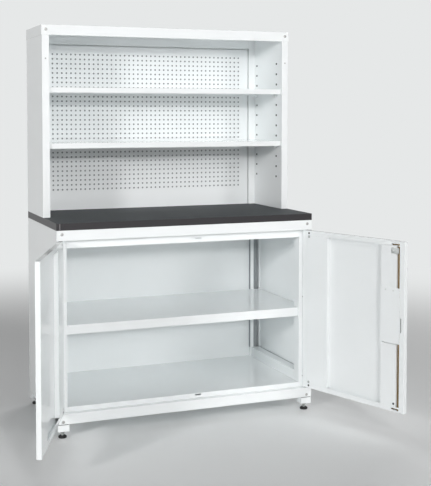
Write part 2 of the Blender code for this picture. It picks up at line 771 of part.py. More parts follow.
def add_right_door_shell(pivot):
    """Add the right door's pan, channels and lock cover."""
    half = DOOR_THICK / 2
    bar, spindle = lock_places()
    pan = door_pan("right_door_pan")
    lip_edge = DOOR_FREE_REACH - DOOR_LIP
    slot_z = LOCK_HEIGHT - LIP_SLOT_DROP
    slot = block(
        "slot",
        (lip_edge + LIP_SLOT_SET, lip_edge + LIP_SLOT_SET + LIP_SLOT_WIDTH),
        (0.0, DOOR_THICK),
        (slot_z - LIP_SLOT_LENGTH / 2, slot_z + LIP_SLOT_LENGTH / 2),
    )
    tools = [slot]
    deep = [-DOOR_THICK, 0.0]
    spindle_bore = SPINDLE_RADIUS + BORE_GAP
    profile = [(spindle_bore, deep[0]), (spindle_bore, deep[1])]
    tools.append(turned("bore", "y", (spindle, 0.0, LOCK_HEIGHT + SPINDLE_RISE), profile, PIN_SIDES))
    cylinder_bore = CYLINDER_RADIUS + BORE_GAP
    profile = [(cylinder_bore, deep[0]), (cylinder_bore, deep[1])]
    tools.append(turned("bore", "y", (spindle, 0.0, LOCK_HEIGHT - CYLINDER_DROP), profile, PIN_SIDES))
    pin_bore = BAR_PIN_RADIUS + BORE_GAP
    for level in (DOOR_LOW, DOOR_HIGH):
        profile = [(pin_bore, level - 2 * DOOR_SHEET), (pin_bore, level + 2 * DOOR_SHEET)]
        tools.append(turned("bore", "z", (bar, 0.0, 0.0), profile, PIN_SIDES))
    swing = math.hypot(HOOK_LENGTH, HOOK_WIDTH / 2 + HOOK_NOSE) + SLOT_GAP
    for level in (HOOK_LOW_Z, HOOK_HIGH_Z):
        hook_slot = block(
            "slot",
            (bar - swing, bar + HOOK_HUB + BORE_GAP),
            (0.0, DOOR_THICK),
            (level - HOOK_THICK / 2 - SLOT_GAP, level + HOOK_THICK / 2 + SLOT_GAP),
        )
        tools.append(hook_slot)
    hand_over(flip(cut(pan, *tools)), pivot, WHITE)

    near = DOOR_LIP + FIT - DOOR_HINGE_REACH
    hinge_channel = door_channel("right_door_hinge_channel", near, CHANNEL_WIDTH)
    hand_over(flip(hinge_channel), pivot, WHITE)

    near = DOOR_FREE_REACH - DOOR_LIP - SLIT - LOCK_CHANNEL_WIDTH
    channel = door_channel("right_door_lock_channel", near, LOCK_CHANNEL_WIDTH)
    case_far = bar + BAR_RADIUS + BORE_GAP + CASE_WALL
    window = block(
        "window",
        (case_far - CASE_WIDTH - 2 * FIT, DOOR_FREE_REACH),
        (-DOOR_THICK, DOOR_THICK),
        (LOCK_HEIGHT - CASE_LENGTH / 2 - CASE_SET, LOCK_HEIGHT + CASE_LENGTH / 2 + CASE_SET),
    )
    hand_over(flip(cut(channel, window)), pivot, WHITE)

    cover = block(
        "lock_cover",
        (near, DOOR_FREE_REACH - DOOR_LIP - FIT),
        (half + FIT, half + FIT + DOOR_SHEET),
        (LOCK_HEIGHT - COVER_LENGTH / 2, LOCK_HEIGHT + COVER_LENGTH / 2),
    )
    hand_over(flip(cover), pivot, WHITE)

    case = block(
        "lock_case",
        (case_far - CASE_WIDTH, case_far),
        (DOOR_SHEET + FIT - half, half - FIT),
        (LOCK_HEIGHT - CASE_LENGTH / 2, LOCK_HEIGHT + CASE_LENGTH / 2),
    )
    radius = BAR_RADIUS + BORE_GAP
    profile = [(radius, LOCK_HEIGHT - CASE_LENGTH), (radius, LOCK_HEIGHT + CASE_LENGTH)]
    tools = [turned("bore", "z", (bar, 0.0, 0.0), profile, PIN_SIDES)]
    floor = SPINDLE_DEPTH - half + FIT
    profile = [(spindle_bore, -DOOR_THICK), (spindle_bore, floor)]
    tools.append(turned("bore", "y", (spindle, 0.0, LOCK_HEIGHT + SPINDLE_RISE), profile, PIN_SIDES))
    profile = [(cylinder_bore, -DOOR_THICK), (cylinder_bore, floor)]
    tools.append(turned("bore", "y", (spindle, 0.0, LOCK_HEIGHT - CYLINDER_DROP), profile, PIN_SIDES))
    hand_over(flip(cut(case, *tools)), pivot, ZINC)


def hook_plate(z):
    """Make one latch hook, unlatched: a finger towards the hinges with a nose at its tip."""
    half = HOOK_WIDTH / 2
    tip = HOOK_LENGTH - HOOK_NOSE_LENGTH
    outline = [
        (0.0, -half),
        (HOOK_LENGTH, -half),
        (HOOK_LENGTH, half + HOOK_NOSE),
        (tip, half + HOOK_NOSE),
        (tip, half),
        (0.0, half),
    ]
    span = (z - HOOK_THICK / 2, z + HOOK_THICK / 2)
    profile = [(HOOK_HUB, span[0]), (HOOK_HUB, span[1])]
    hub = turned("hub", "z", (0.0, 0.0, 0.0), profile, PIN_SIDES)
    return join(fold("hook", "z", outline, span), hub)


def add_lock(pivot):
    """Add the pieces of the lock that turn: latch bar with hooks, handle lever and lock cylinder."""
    half = DOOR_THICK / 2
    bar, spindle = lock_places()
    bar_axis = empty("latch_bar_axis", pivot, (-bar, 0.0, 0.0))
    low = DOOR_LOW + DOOR_SHEET + FIT
    high = DOOR_HIGH - DOOR_SHEET - FIT
    profile = [
        (BAR_PIN_RADIUS, DOOR_LOW),
        (BAR_PIN_RADIUS, low),
        (BAR_RADIUS, low),
        (BAR_RADIUS, high),
        (BAR_PIN_RADIUS, high),
        (BAR_PIN_RADIUS, DOOR_HIGH),
    ]
    latch = turned("latch_bar", "z", (0.0, 0.0, 0.0), profile, PIN_SIDES)
    join(latch, hook_plate(HOOK_HIGH_Z), hook_plate(HOOK_LOW_Z))
    hand_over(latch, bar_axis, BRASS_ZINC)

    face = -half - FIT
    plate_face = face - BACKPLATE_THICK
    plate = block(
        "handle_backplate",
        (spindle - BACKPLATE_WIDTH / 2, spindle + BACKPLATE_WIDTH / 2),
        (plate_face, face),
        (LOCK_HEIGHT - BACKPLATE_LENGTH / 2, LOCK_HEIGHT + BACKPLATE_LENGTH / 2),
    )
    radius = SPINDLE_RADIUS + BORE_GAP
    profile = [(radius, -2 * DOOR_THICK), (radius, 0.0)]
    tools = [turned("bore", "y", (spindle, 0.0, LOCK_HEIGHT + SPINDLE_RISE), profile, PIN_SIDES)]
    radius = CYLINDER_RADIUS + BORE_GAP
    profile = [(radius, -2 * DOOR_THICK), (radius, 0.0)]
    tools.append(turned("bore", "y", (spindle, 0.0, LOCK_HEIGHT - CYLINDER_DROP), profile, PIN_SIDES))
    hand_over(flip(cut(plate, *tools)), pivot, CHROME)

    lever_axis = empty("handle_axis", pivot, (-spindle, 0.0, LOCK_HEIGHT + SPINDLE_RISE))
    boss = plate_face - FIT
    profile = [
        (SPINDLE_RADIUS, SPINDLE_DEPTH - half),
        (SPINDLE_RADIUS, boss),
        (BOSS_RADIUS, boss),
        (BOSS_RADIUS, boss - BOSS_LENGTH),
    ]
    lever = turned("handle_lever", "y", (0.0, 0.0, 0.0), profile, HANDLE_SIDES)
    wide = LEVER_WIDTH / 2
    arm = fold(
        "arm",
        "y",
        lever_outline(wide),
        (boss - BOSS_LENGTH, boss - BOSS_LENGTH + LEVER_THICK),
    )
    hand_over(join(lever, arm), lever_axis, CHROME)

    key_axis = empty("lock_cylinder_axis", pivot, (-spindle, 0.0, LOCK_HEIGHT - CYLINDER_DROP))
    nose = plate_face - CYLINDER_SHOW
    profile = [(CYLINDER_RADIUS, SPINDLE_DEPTH - half), (CYLINDER_RADIUS, nose)]
    cylinder = turned("lock_cylinder", "y", (0.0, 0.0, 0.0), profile, HANDLE_SIDES)
    slot = block(
        "slot",
        (-KEY_SLOT / 2, KEY_SLOT / 2),
        (nose - KEY_SLOT_DEPTH, nose + KEY_SLOT_DEPTH),
        (-CYLINDER_RADIUS / 2, CYLINDER_RADIUS / 2),
    )
    hand_over(cut(cylinder, slot), key_axis, CHROME)


def lever_outline(half):
    """Give the (x, z) outline of the lever's arm: a bar with a round free end, towards the hinges."""
    round_end = []
    for step in range(LEVER_STEPS + 1):
        angle = math.pi / 2 - math.pi * step / LEVER_STEPS
        round_end.append((LEVER_LENGTH - half + half * math.cos(angle), half * math.sin(angle)))
    return [(0.0, half)] + round_end + [(0.0, -half)]


def add_right_door(root):
    """Add the right door, open, on its pivot, with its lock."""
    place = (WIDTH - PIVOT_IN, PIVOT_Y, 0.0)
    pivot = empty("right_door_pivot", root, place, math.radians(RIGHT_OPEN_DEG))
    add_right_door_shell(pivot)
    add_lock(pivot)


def upper_hole_rows():
    """Give the heights of the shelf holes in the upper unit's linings."""
    first = TOP_HIGH + HOLE_FIRST
    count = int((UPPER_HIGH - HOLE_TOP_MARGIN - first) / HOLE_PITCH) + 1
    return [first + HOLE_PITCH * step for step in range(count)]


def upper_shelf_lows():
    """Give the lower edges of the two upper shelves, by name."""
    rows = upper_hole_rows()
    return {
        "low": rows[LOW_SHELF_ROW] + UPPER_SHELF_OVER_HOLE,
        "high": rows[HIGH_SHELF_ROW] + UPPER_SHELF_OVER_HOLE,
    }


def add_upper_side(root, side):
    """Add one side of the upper unit: outer fold, inner lining with holes and clips, rear post."""
    span = (UPPER_LOW, UPPER_CEILING)
    outline = [
        (0.0, UPPER_FRONT),
        (UPPER_SIDE, UPPER_FRONT),
        (UPPER_SIDE, UPPER_FRONT + SHEET),
        (SHEET, UPPER_FRONT + SHEET),
        (SHEET, DEPTH),
        (0.0, DEPTH),
    ]
    post = [
        (UPPER_SIDE + FIT, POST_FACE),
        (UPPER_SIDE + REAR_STRIP, POST_FACE),
        (UPPER_SIDE + REAR_STRIP, INNER_BACK),
        (UPPER_SIDE + REAR_STRIP - SHEET, INNER_BACK),
        (UPPER_SIDE + REAR_STRIP - SHEET, POST_FACE + SHEET),
        (UPPER_SIDE + FIT, POST_FACE + SHEET),
    ]
    if side == "right":
        outline = mirrored_outline(outline)
        post = mirrored_outline(post)
    hand_over(fold("upper_" + side + "_side", "z", outline, span), root, WHITE)
    hand_over(fold("upper_" + side + "_rear_post", "z", post, span), root, WHITE)

    columns = [UPPER_FRONT + HOLE_FRONT, DEPTH - HOLE_REAR]
    sheet_span = (UPPER_FRONT + SHEET + FIT, INNER_BACK)
    name = "upper_" + side + "_lining"
    sheet = perforated(sheet_span, span, columns, upper_hole_rows(), (HOLE_WIDTH, HOLE_HEIGHT))
    lining = thicken(name, sheet, SHEET)
    for vert in lining.data.vertices:
        depth_in = vert.co.y
        vert.co.y = vert.co.x
        vert.co.x = UPPER_SIDE - depth_in
    clips = []
    for low in upper_shelf_lows().values():
        for middle in columns:
            clips.append(
                block(
                    "clip",
                    (UPPER_SIDE - SHEET / 2, UPPER_SIDE + UPPER_CLIP_REACH),
                    (middle - UPPER_CLIP_WIDTH / 2, middle + UPPER_CLIP_WIDTH / 2),
                    (low - FIT - UPPER_CLIP_HEIGHT, low - FIT),
                )
            )
    join(lining, *clips)
    if side == "right":
        flip(lining, WIDTH / 2)
    hand_over(lining, root, WHITE)


def add_upper_top(root):
    """Add the top with its deep front fascia and side turn-downs, and the rail behind it."""
    out = SHEET + FIT
    low = UPPER_HIGH - HEADER
    top = block("upper_top", (-out, WIDTH + out), (UPPER_FRONT - out, DEPTH), (low, UPPER_HIGH))
    inside = block(
        "inside",
        (-FIT, WIDTH + FIT),
        (UPPER_FRONT - FIT, DEPTH + HEADER),
        (low - HEADER, UPPER_HIGH - SHEET),
    )
    hand_over(cut(top, inside), root, WHITE)
    near = UPPER_SIDE + REAR_STRIP + FIT
    outline = [
        (POST_FACE, RAIL_LOW),
        (POST_FACE + UPPER_RAIL_FOLD, RAIL_LOW),
        (POST_FACE + UPPER_RAIL_FOLD, RAIL_LOW + SHEET),
        (POST_FACE + SHEET, RAIL_LOW + SHEET),
        (POST_FACE + SHEET, UPPER_CEILING),
        (POST_FACE, UPPER_CEILING),
    ]
    hand_over(fold("upper_rear_rail", "x", outline, (near, WIDTH - near)), root, WHITE)


def add_upper_back(root):
    """Add the pegboard and the plain sheet behind it."""
    near = UPPER_SIDE + REAR_STRIP + FIT
    across = (near, WIDTH - near)
    upright = (UPPER_LOW, RAIL_LOW - FIT)
    room = across[1] - across[0] - 2 * PEG_SIDE_MARGIN
    count = int(room / PEG_PITCH) + 1
    first = WIDTH / 2 - PEG_PITCH * (count - 1) / 2
    columns = [first + PEG_PITCH * step for step in range(0, count, PEG_STRIDE)]
    low = TOP_HIGH + PEG_LOW_MARGIN
    count = int((RAIL_LOW - PEG_TOP_MARGIN - low) / PEG_PITCH) + 1
    rows = [low + PEG_PITCH * step for step in range(0, count, PEG_STRIDE)]
    sheet = perforated(across, upright, columns, rows, (PEG_HOLE, PEG_HOLE))
    board = thicken("pegboard", sheet, PEG_SHEET)
    for vert in board.data.vertices:
        vert.co.y += DEPTH - PEG_SET
    hand_over(board, root, WHITE)
    back = block(
        "upper_back_sheet",
        (INNER_LEFT, WIDTH - INNER_LEFT),
        (DEPTH - SHEET, DEPTH),
        (UPPER_LOW, UPPER_CEILING),
    )
    hand_over(back, root, WHITE)


def add_upper_shelves(root):
    """Add the two upper shelves: trays turned upside down that rest on the linings' clips."""
    near = UPPER_SIDE + SHELF_GAP
    front = UPPER_FRONT + UPPER_SHELF_SET
    back = POST_FACE - SHELF_GAP
    for name, low in upper_shelf_lows().items():
        high = low + UPPER_SHELF_LIP
        shelf = block("upper_shelf_" + name, (near, WIDTH - near), (front, back), (low, high))
        inside = block(
            "inside",
            (near + SHEET, WIDTH - near - SHEET),
            (front + SHEET, back - SHEET),
            (low - UPPER_SHELF_LIP, high - SHEET),
        )
        hand_over(cut(shelf, inside), root, WHITE)


def main():
    """Build the stand."""
    clear_scene()
    across, deep = plan_middle()
    root = empty("stand_frame", None, (-across, -deep, 0.0))
    add_worktop(root)
    add_carcass_panels(root)
    add_posts(root)
    add_rails(root)
    add_floor(root)
    add_cabinet_shelf(root)
    add_feet(root)
    add_left_door(root)
    add_right_door(root)
    for side in ("left", "right"):
        add_upper_side(root, side)
    add_upper_top(root)
    add_upper_back(root)
    add_upper_shelves(root)


main()
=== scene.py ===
"""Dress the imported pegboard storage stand: finishes, fine pieces, studio light and camera.

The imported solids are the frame. Sheet pieces get copies with rolled fold edges, the pegboard gets its
full grid of round holes, and the feet, the handle and the fasteners get their fine forms. All sizes are
in metres, in the frame of the solids, unless a name says otherwise.
"""
import json
import logging
import math
from dataclasses import dataclass
from enum import Enum
from typing import Any, Iterable

import bmesh
import bpy
from mathutils import Matrix, Vector

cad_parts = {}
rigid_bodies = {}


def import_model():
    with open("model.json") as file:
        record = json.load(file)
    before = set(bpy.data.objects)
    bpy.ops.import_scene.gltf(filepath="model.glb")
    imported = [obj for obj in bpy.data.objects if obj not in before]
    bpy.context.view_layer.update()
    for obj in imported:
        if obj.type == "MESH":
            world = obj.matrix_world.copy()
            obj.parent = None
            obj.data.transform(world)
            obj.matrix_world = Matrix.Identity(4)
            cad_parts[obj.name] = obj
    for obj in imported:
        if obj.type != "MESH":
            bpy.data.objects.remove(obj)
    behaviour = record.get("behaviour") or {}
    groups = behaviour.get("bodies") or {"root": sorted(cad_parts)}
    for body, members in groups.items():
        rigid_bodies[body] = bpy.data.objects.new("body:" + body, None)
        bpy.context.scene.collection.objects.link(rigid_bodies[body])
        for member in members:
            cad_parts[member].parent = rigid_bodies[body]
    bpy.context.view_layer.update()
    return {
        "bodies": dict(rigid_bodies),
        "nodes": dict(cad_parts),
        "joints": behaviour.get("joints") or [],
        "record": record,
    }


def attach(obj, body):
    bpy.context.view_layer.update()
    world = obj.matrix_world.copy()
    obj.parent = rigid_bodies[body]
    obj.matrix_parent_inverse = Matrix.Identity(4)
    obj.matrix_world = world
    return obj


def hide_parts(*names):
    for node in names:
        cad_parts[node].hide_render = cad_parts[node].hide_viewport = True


LOG = logging.getLogger("stand")
IMAGE_HIGH_PX = 486
SENSOR_MM = 36.0
Shape = bmesh.types.BMesh
Node = bpy.types.Node
Socket = bpy.types.NodeSocket
Tree = bpy.types.NodeTree
Span = tuple[float, float]
Spans = tuple[Span, Span, Span]
Profile = tuple[Span, ...]
Point = tuple[float, float, float]
Row = tuple[float, ...]
Names = tuple[str, ...]
Layers = tuple[Socket, Socket, Socket]
UP = Vector((0.0, 0.0, 1.0))
FRONT = Vector((0.0, -1.0, 0.0))
# The cabinet's front left corner on the floor, in the frame of the solids
CORNER = Vector((-0.592305, -0.030759, 0.0))
WIDTH = 1.200
LEFT_PIVOT = Vector((-0.572305, -0.019759, 0.0))
RIGHT_PIVOT = Vector((0.587695, -0.019759, 0.0))
# How far the doors stand open at rest
LEFT_OPEN_DEG = 111.3
RIGHT_OPEN_DEG = 109.3
# Points nearer than this are taken for one
MERGE = 0.00001
# Edges of turned and rounded pieces that are flatter than this are shaded smooth
SMOOTH_DEG = 35.0
CORNER_STEPS = 6
RIM_STEPS = 3


class Side(Enum):
    """The two hands of the stand, seen from the front."""

    LEFT = "left"
    RIGHT = "right"


class End(Enum):
    """The two ends of the cabinet in depth."""

    FRONT = "front"
    REAR = "rear"


def linear(code: str) -> Row:
    """Turn an sRGB hex colour such as "#F1F3F3" into linear red, green, blue and an alpha of 1."""
    shares = [int(code[start:start + 2], 16) / 255.0 for start in (1, 3, 5)]
    return (*(s / 12.92 if s <= 0.04045 else ((s + 0.055) / 1.055) ** 2.4 for s in shares), 1.0)


def per_metre(size_mm: float) -> float:
    """Give the texture scale on Object coordinates whose features are about size_mm wide."""
    return 1000.0 / size_mm


def add_node(
    tree: Tree,
    kind: str,
    settings: dict[Any, Any] | None = None,
    links: dict[Any, Socket] | None = None,
) -> Node:
    """Add a node, set its properties and sockets, and link what feeds it.

    Args:
        tree: Node tree that takes the node.
        kind: Blender's name of the node type.
        settings: Values by property name, input name or input number.
        links: Output sockets by the name or number of the input that each feeds.

    Returns:
        The new node.
    """
    node = tree.nodes.new(kind)
    for key, value in (settings or {}).items():
        if isinstance(key, int) or key in node.inputs:
            node.inputs[key].default_value = value
        else:
            setattr(node, key, value)
    for key, socket in (links or {}).items():
        tree.links.new(socket, node.inputs[key])
    return node


def joined(tree: Tree, operation: str, first: Socket, second: Socket) -> Socket:
    """Join two values by a calculation, and give the result."""
    return add_node(tree, "ShaderNodeMath", {"operation": operation}, {0: first, 1: second}).outputs[0]


def noise(tree: Tree, place: Socket, size_mm: float, detail: float, roughness: float = 0.5) -> Socket:
    """Add noise with features about size_mm wide, and give its value."""
    settings = {"Scale": per_metre(size_mm), "Detail": detail, "Roughness": roughness}
    return add_node(tree, "ShaderNodeTexNoise", settings, {"Vector": place}).outputs[0]


@dataclass(frozen=True)
class Finish:
    """A material's name, the record's slot that it stands for, its two mixed colours, gloss and relief."""

    name: str
    slot: str
    colour: str
    second: str
    # Roughness: one value, or the two limits that the haze moves it between
    gloss: float | Span
    strength: float
    depth: float
    ior: float = 1.5
    metallic: float = 0.0

    def layers(self, tree: Tree, place: Socket) -> Layers:
        """Add the textures: the share of the second colour, the haze, and the relief's height."""
        raise NotImplementedError

    def material(self) -> bpy.types.Material:
        """Make the finish's material.

        Returns:
            The new material.
        """
        material = bpy.data.materials.new(self.name)
        material.use_nodes = True
        tree = material.node_tree
        tree.nodes.clear()
        share, haze, height = self.layers(tree, add_node(tree, "ShaderNodeTexCoord").outputs["Object"])
        colours = {"data_type": "RGBA", 6: linear(self.colour), 7: linear(self.second)}
        mixed = add_node(tree, "ShaderNodeMix", colours, {0: share})
        bump = {"Strength": self.strength, "Distance": self.depth}
        relief = add_node(tree, "ShaderNodeBump", bump, {"Height": height})
        settings = {"IOR": self.ior, "Metallic": self.metallic}
        links = {"Base Color": mixed.outputs[2], "Normal": relief.outputs["Normal"]}
        if isinstance(self.gloss, tuple):
            limits = {"To Min": self.gloss[0], "To Max": self.gloss[1]}
            hazed = add_node(tree, "ShaderNodeMapRange", limits, {"Value": haze})
            links["Roughness"] = hazed.outputs["Result"]
        else:
            settings["Roughness"] = self.gloss
        shader = add_node(tree, "ShaderNodeBsdfPrincipled", settings, links)
        add_node(tree, "ShaderNodeOutputMaterial", links={"Surface": shader.outputs["BSDF"]})
        return material


@dataclass(frozen=True)
class PowderCoat(Finish):
    """White polyester powder, sprayed and baked: an even semi-gloss white with a faint orange peel."""

    colour: str = "#F5F7F8"
    second: str = "#F1F4F4"
    gloss: float | Span = (0.05, 0.10)
    strength: float = 0.5
    depth: float = 0.00006
    cloud_mm: float = 220.0
    haze_mm: float = 70.0
    # Real orange peel is about 2 mm wide; it is drawn at 6 mm so that it still shows from afar
    peel_mm: float = 6.0

    def layers(self, tree: Tree, place: Socket) -> Layers:
        """Add the clouds of the white, the haze of its gloss, and the orange peel."""
        cloud = noise(tree, place, self.cloud_mm, 2.0)
        return (cloud, noise(tree, place, self.haze_mm, 3.0), noise(tree, place, self.peel_mm, 1.0))


@dataclass(frozen=True)
class SlateLaminate(Finish):
    """Pressed laminate on board: dark slate with a fine pale and dark fleck and a pebbled satin face."""

    colour: str = "#33373A"
    second: str = "#474C4E"
    gloss: float | Span = (0.56, 0.70)
    strength: float = 0.3
    depth: float = 0.00010
    ior: float = 1.35
    mottle_mm: float = 26.0
    # The real fleck is about 1 mm; it is drawn at 3 mm so that it shows
    fleck_mm: float = 3.0
    pebble_mm: float = 2.0
    share: float = 0.6
    offset: float = -0.05

    def layers(self, tree: Tree, place: Socket) -> Layers:
        """Add mottle and fleck, which mix the colours together, and the pebbled face.

        Args:
            tree: Node tree of the material.
            place: Object coordinates.

        Returns:
            Share of the pale colour, haze and height.
        """
        mottle = noise(tree, place, self.mottle_mm, 5.0, 0.6)
        fleck = noise(tree, place, self.fleck_mm, 2.0, 0.7)
        weigh = {"operation": "MULTIPLY_ADD", 1: self.share}
        flecked = add_node(tree, "ShaderNodeMath", weigh | {2: self.offset}, {0: fleck}).outputs[0]
        both = add_node(tree, "ShaderNodeMath", weigh | {"use_clamp": True}, {0: mottle, 2: flecked})
        scale = {"Scale": per_metre(self.pebble_mm)}
        pebble = add_node(tree, "ShaderNodeTexVoronoi", scale, {"Vector": place})
        return (both.outputs[0], mottle, pebble.outputs["Distance"])


@dataclass(frozen=True)
class EdgeBanding(Finish):
    """Extruded plastic edge banding: near black, satin, with faint drawn lines along its run."""

    colour: str = "#201D20"
    second: str = "#2D2A2D"
    gloss: float | Span = 0.42
    strength: float = 0.2
    depth: float = 0.0001
    line_mm: float = 2.5
    run_mm: float = 160.0

    def layers(self, tree: Tree, place: Socket) -> Layers:
        """Add the lines, drawn out along the level directions.

        Args:
            tree: Node tree of the material.
            place: Object coordinates.

        Returns:
            The lines, three times.
        """
        run = per_metre(self.run_mm)
        scale = {"Scale": (run, run, per_metre(self.line_mm))}
        drawn = add_node(tree, "ShaderNodeMapping", scale, {"Vector": place}).outputs["Vector"]
        settings = {"Scale": 1.0, "Detail": 3.0}
        lines = add_node(tree, "ShaderNodeTexNoise", settings, {"Vector": drawn}).outputs[0]
        return (lines, lines, lines)


@dataclass(frozen=True)
class PlatedSteel(Finish):
    """Electroplated steel: a metal sheen whose tint and gloss drift over the plating."""

    colour: str = "#C4C6C4"
    second: str = "#AEB1B0"
    gloss: float | Span = (0.24, 0.40)
    strength: float = 0.15
    depth: float = 0.00005
    metallic: float = 1.0
    drift_mm: float = 14.0
    grain_mm: float = 0.8

    def layers(self, tree: Tree, place: Socket) -> Layers:
        """Add the drift of tint and gloss, and the fine grain."""
        drift = noise(tree, place, self.drift_mm, 3.0)
        return (drift, drift, noise(tree, place, self.grain_mm, 1.0))


@dataclass(frozen=True)
class MouldedRubber(Finish):
    """Moulded rubber or nylon: dull, dusty in places, with the mould's fine grain."""

    colour: str = "#121212"
    second: str = "#242323"
    gloss: float | Span = 0.68
    strength: float = 0.3
    depth: float = 0.0001
    dust_mm: float = 9.0
    grain_mm: float = 1.2

    def layers(self, tree: Tree, place: Socket) -> Layers:
        """Add the dust and the grain."""
        dust = noise(tree, place, self.dust_mm, 4.0)
        return (dust, dust, noise(tree, place, self.grain_mm, 2.0))


WHITE_COAT = PowderCoat("white_powder_coat", "white_paint")
SLATE_TOP = SlateLaminate("slate_laminate_top", "slate_laminate")
BLACK_BAND = EdgeBanding("black_edge_banding", "black_edging")
BAND_JOINT = EdgeBanding("edge_banding_joint", "black_edging", "#8E8C8E", "#A3A1A3")
BRIGHT_ZINC = PlatedSteel("bright_zinc_steel", "zinc_steel")
GUIDE_ZINC = PlatedSteel("pale_zinc_guide", "zinc_steel", "#E2E3E1", "#CDCFCE", (0.34, 0.50))
SCREW_NICKEL = PlatedSteel("dull_nickel_screws", "zinc_steel", "#C6C5C3", "#AFAEAD", (0.42, 0.58))
YELLOW_ZINC = PlatedSteel("yellow_zinc_steel", "yellow_zinc", "#A58A5E", "#7E6A4C", (0.28, 0.46))
SATIN_CHROME = PlatedSteel(
    "satin_chrome", "handle_chrome", "#D3D5D6", "#C5C8CA", (0.14, 0.22), drift_mm=30.0
)
BLACK_RUBBER = MouldedRubber("black_foot_rubber", "black_rubber")
# Painted shade: the black and the grey sheets below are not rubber; they stand for shade in holes, gaps
# and recesses
SHADE_BLACK = MouldedRubber("painted_shade_black", "black_edging", "#0E0F10", "#151617", 0.85)
SHADE_GREY = MouldedRubber("painted_shade_grey", "black_edging", "#969A9C", "#A0A4A6", 0.70)
# Black nylon for the hinge plugs and washers; the same black on the slab over each foot block is painted
# shade
BLACK_NYLON_AND_SHADE = MouldedRubber("black_nylon_and_painted_shade", "black_rubber", "#171717", "#222222", 0.5)


def rounded(
    shape: Shape,
    edges: Iterable[bmesh.types.BMEdge],
    radius: float,
    segments: int,
    clamp: bool = True,
) -> None:
    """Round edges of a shape.

    Args:
        shape: The shape.
        edges: The edges.
        radius: Width of the rounding.
        segments: Steps of the rounding.
        clamp: Whether roundings that would meet are held back.
    """
    bmesh.ops.bevel(
        shape,
        geom=list(edges),
        offset=radius,
        offset_type="OFFSET",
        segments=segments,
        profile=0.5,
        affect="EDGES",
        clamp_overlap=clamp,
        material=-1,
    )


def everything(shape: Shape) -> list[Any]:
    """List all points, edges and faces of a shape."""
    return list(shape.verts) + list(shape.edges) + list(shape.faces)


def new_verts(made: dict[str, Any]) -> list[bmesh.types.BMVert]:
    """List the points among what an operator made."""
    return [item for item in made["geom"] if isinstance(item, bmesh.types.BMVert)]


def plate(size: Vector, corner: float, rim: float, place: Matrix) -> Shape:
    """Make a plate with round corners and a rounded front rim.

    Args:
        size: Its width, length and thickness.
        corner: Radius of its corners.
        rim: Radius of its rim.
        place: Where it goes; its back lies on Z 0.

    Returns:
        The plate.
    """
    shape = bmesh.new()
    bmesh.ops.create_cube(shape, size=1.0)
    lift = Matrix.Translation((0.0, 0.0, size.z / 2))
    bmesh.ops.transform(shape, matrix=lift @ Matrix.Diagonal((*size, 1.0)), verts=shape.verts)
    upright = [edge for edge in shape.edges if abs(edge.verts[0].co.z - edge.verts[1].co.z) > rim]
    rounded(shape, upright, corner, CORNER_STEPS)
    front = [edge for edge in shape.edges if all(vert.co.z > rim for vert in edge.verts)]
    rounded(shape, front, rim, RIM_STEPS)
    bmesh.ops.transform(shape, matrix=place, verts=shape.verts)
    return shape


def slab(spans: Spans) -> Shape:
    """Make a box of sheet.

    Args:
        spans: Its reach across, in depth and in height from the cabinet's corner.

    Returns:
        The box.
    """
    low = Vector([span[0] for span in spans])
    high = Vector([span[1] for span in spans])
    place = Matrix.Translation(CORNER + (low + high) / 2) @ Matrix.Diagonal((*(high - low), 1.0))
    shape = bmesh.new()
    bmesh.ops.create_cube(shape, size=1.0, matrix=place)
    return shape


def spun(shape: Shape, profile: Iterable[Span], sides: int, place: Matrix) -> None:
    """Spin (radius, height) points round an axis into a closed form, and put it in place.

    Args:
        shape: Shape that takes the form.
        profile: Points from one pole to the other.
        sides: Steps of the spin.
        place: Where the form goes; its Z is the axis.
    """
    turned = bmesh.new()
    line = [turned.verts.new((radius, 0.0, height)) for radius, height in profile]
    edges = [turned.edges.new(pair) for pair in zip(line, line[1:])]
    bmesh.ops.spin(
        turned,
        geom=line + edges,
        cent=(0.0, 0.0, 0.0),
        axis=UP,
        dvec=(0.0, 0.0, 0.0),
        angle=2 * math.pi,
        steps=sides,
        use_merge=True,
        use_duplicate=False,
    )
    bmesh.ops.remove_doubles(turned, verts=turned.verts, dist=MERGE)
    bmesh.ops.recalc_face_normals(turned, faces=turned.faces)
    bmesh.ops.transform(turned, matrix=place, verts=turned.verts)
    carrier = bpy.data.meshes.new("carrier")
    turned.to_mesh(carrier)
    turned.free()
    shape.from_mesh(carrier)
    bpy.data.meshes.remove(carrier)


def facing(place: Vector, outward: Vector) -> Matrix:
    """Give the matrix that puts a form at a place with its Z along outward."""
    return Matrix.Translation(place) @ UP.rotation_difference(outward).to_matrix().to_4x4()


def upright_frame(place: Vector, outward: Vector) -> Matrix:
    """Give the matrix that puts a form at a place with its Y up and its Z along outward."""
    return Matrix.Translation(place) @ Matrix((UP.cross(outward), UP, outward)).transposed().to_4x4()


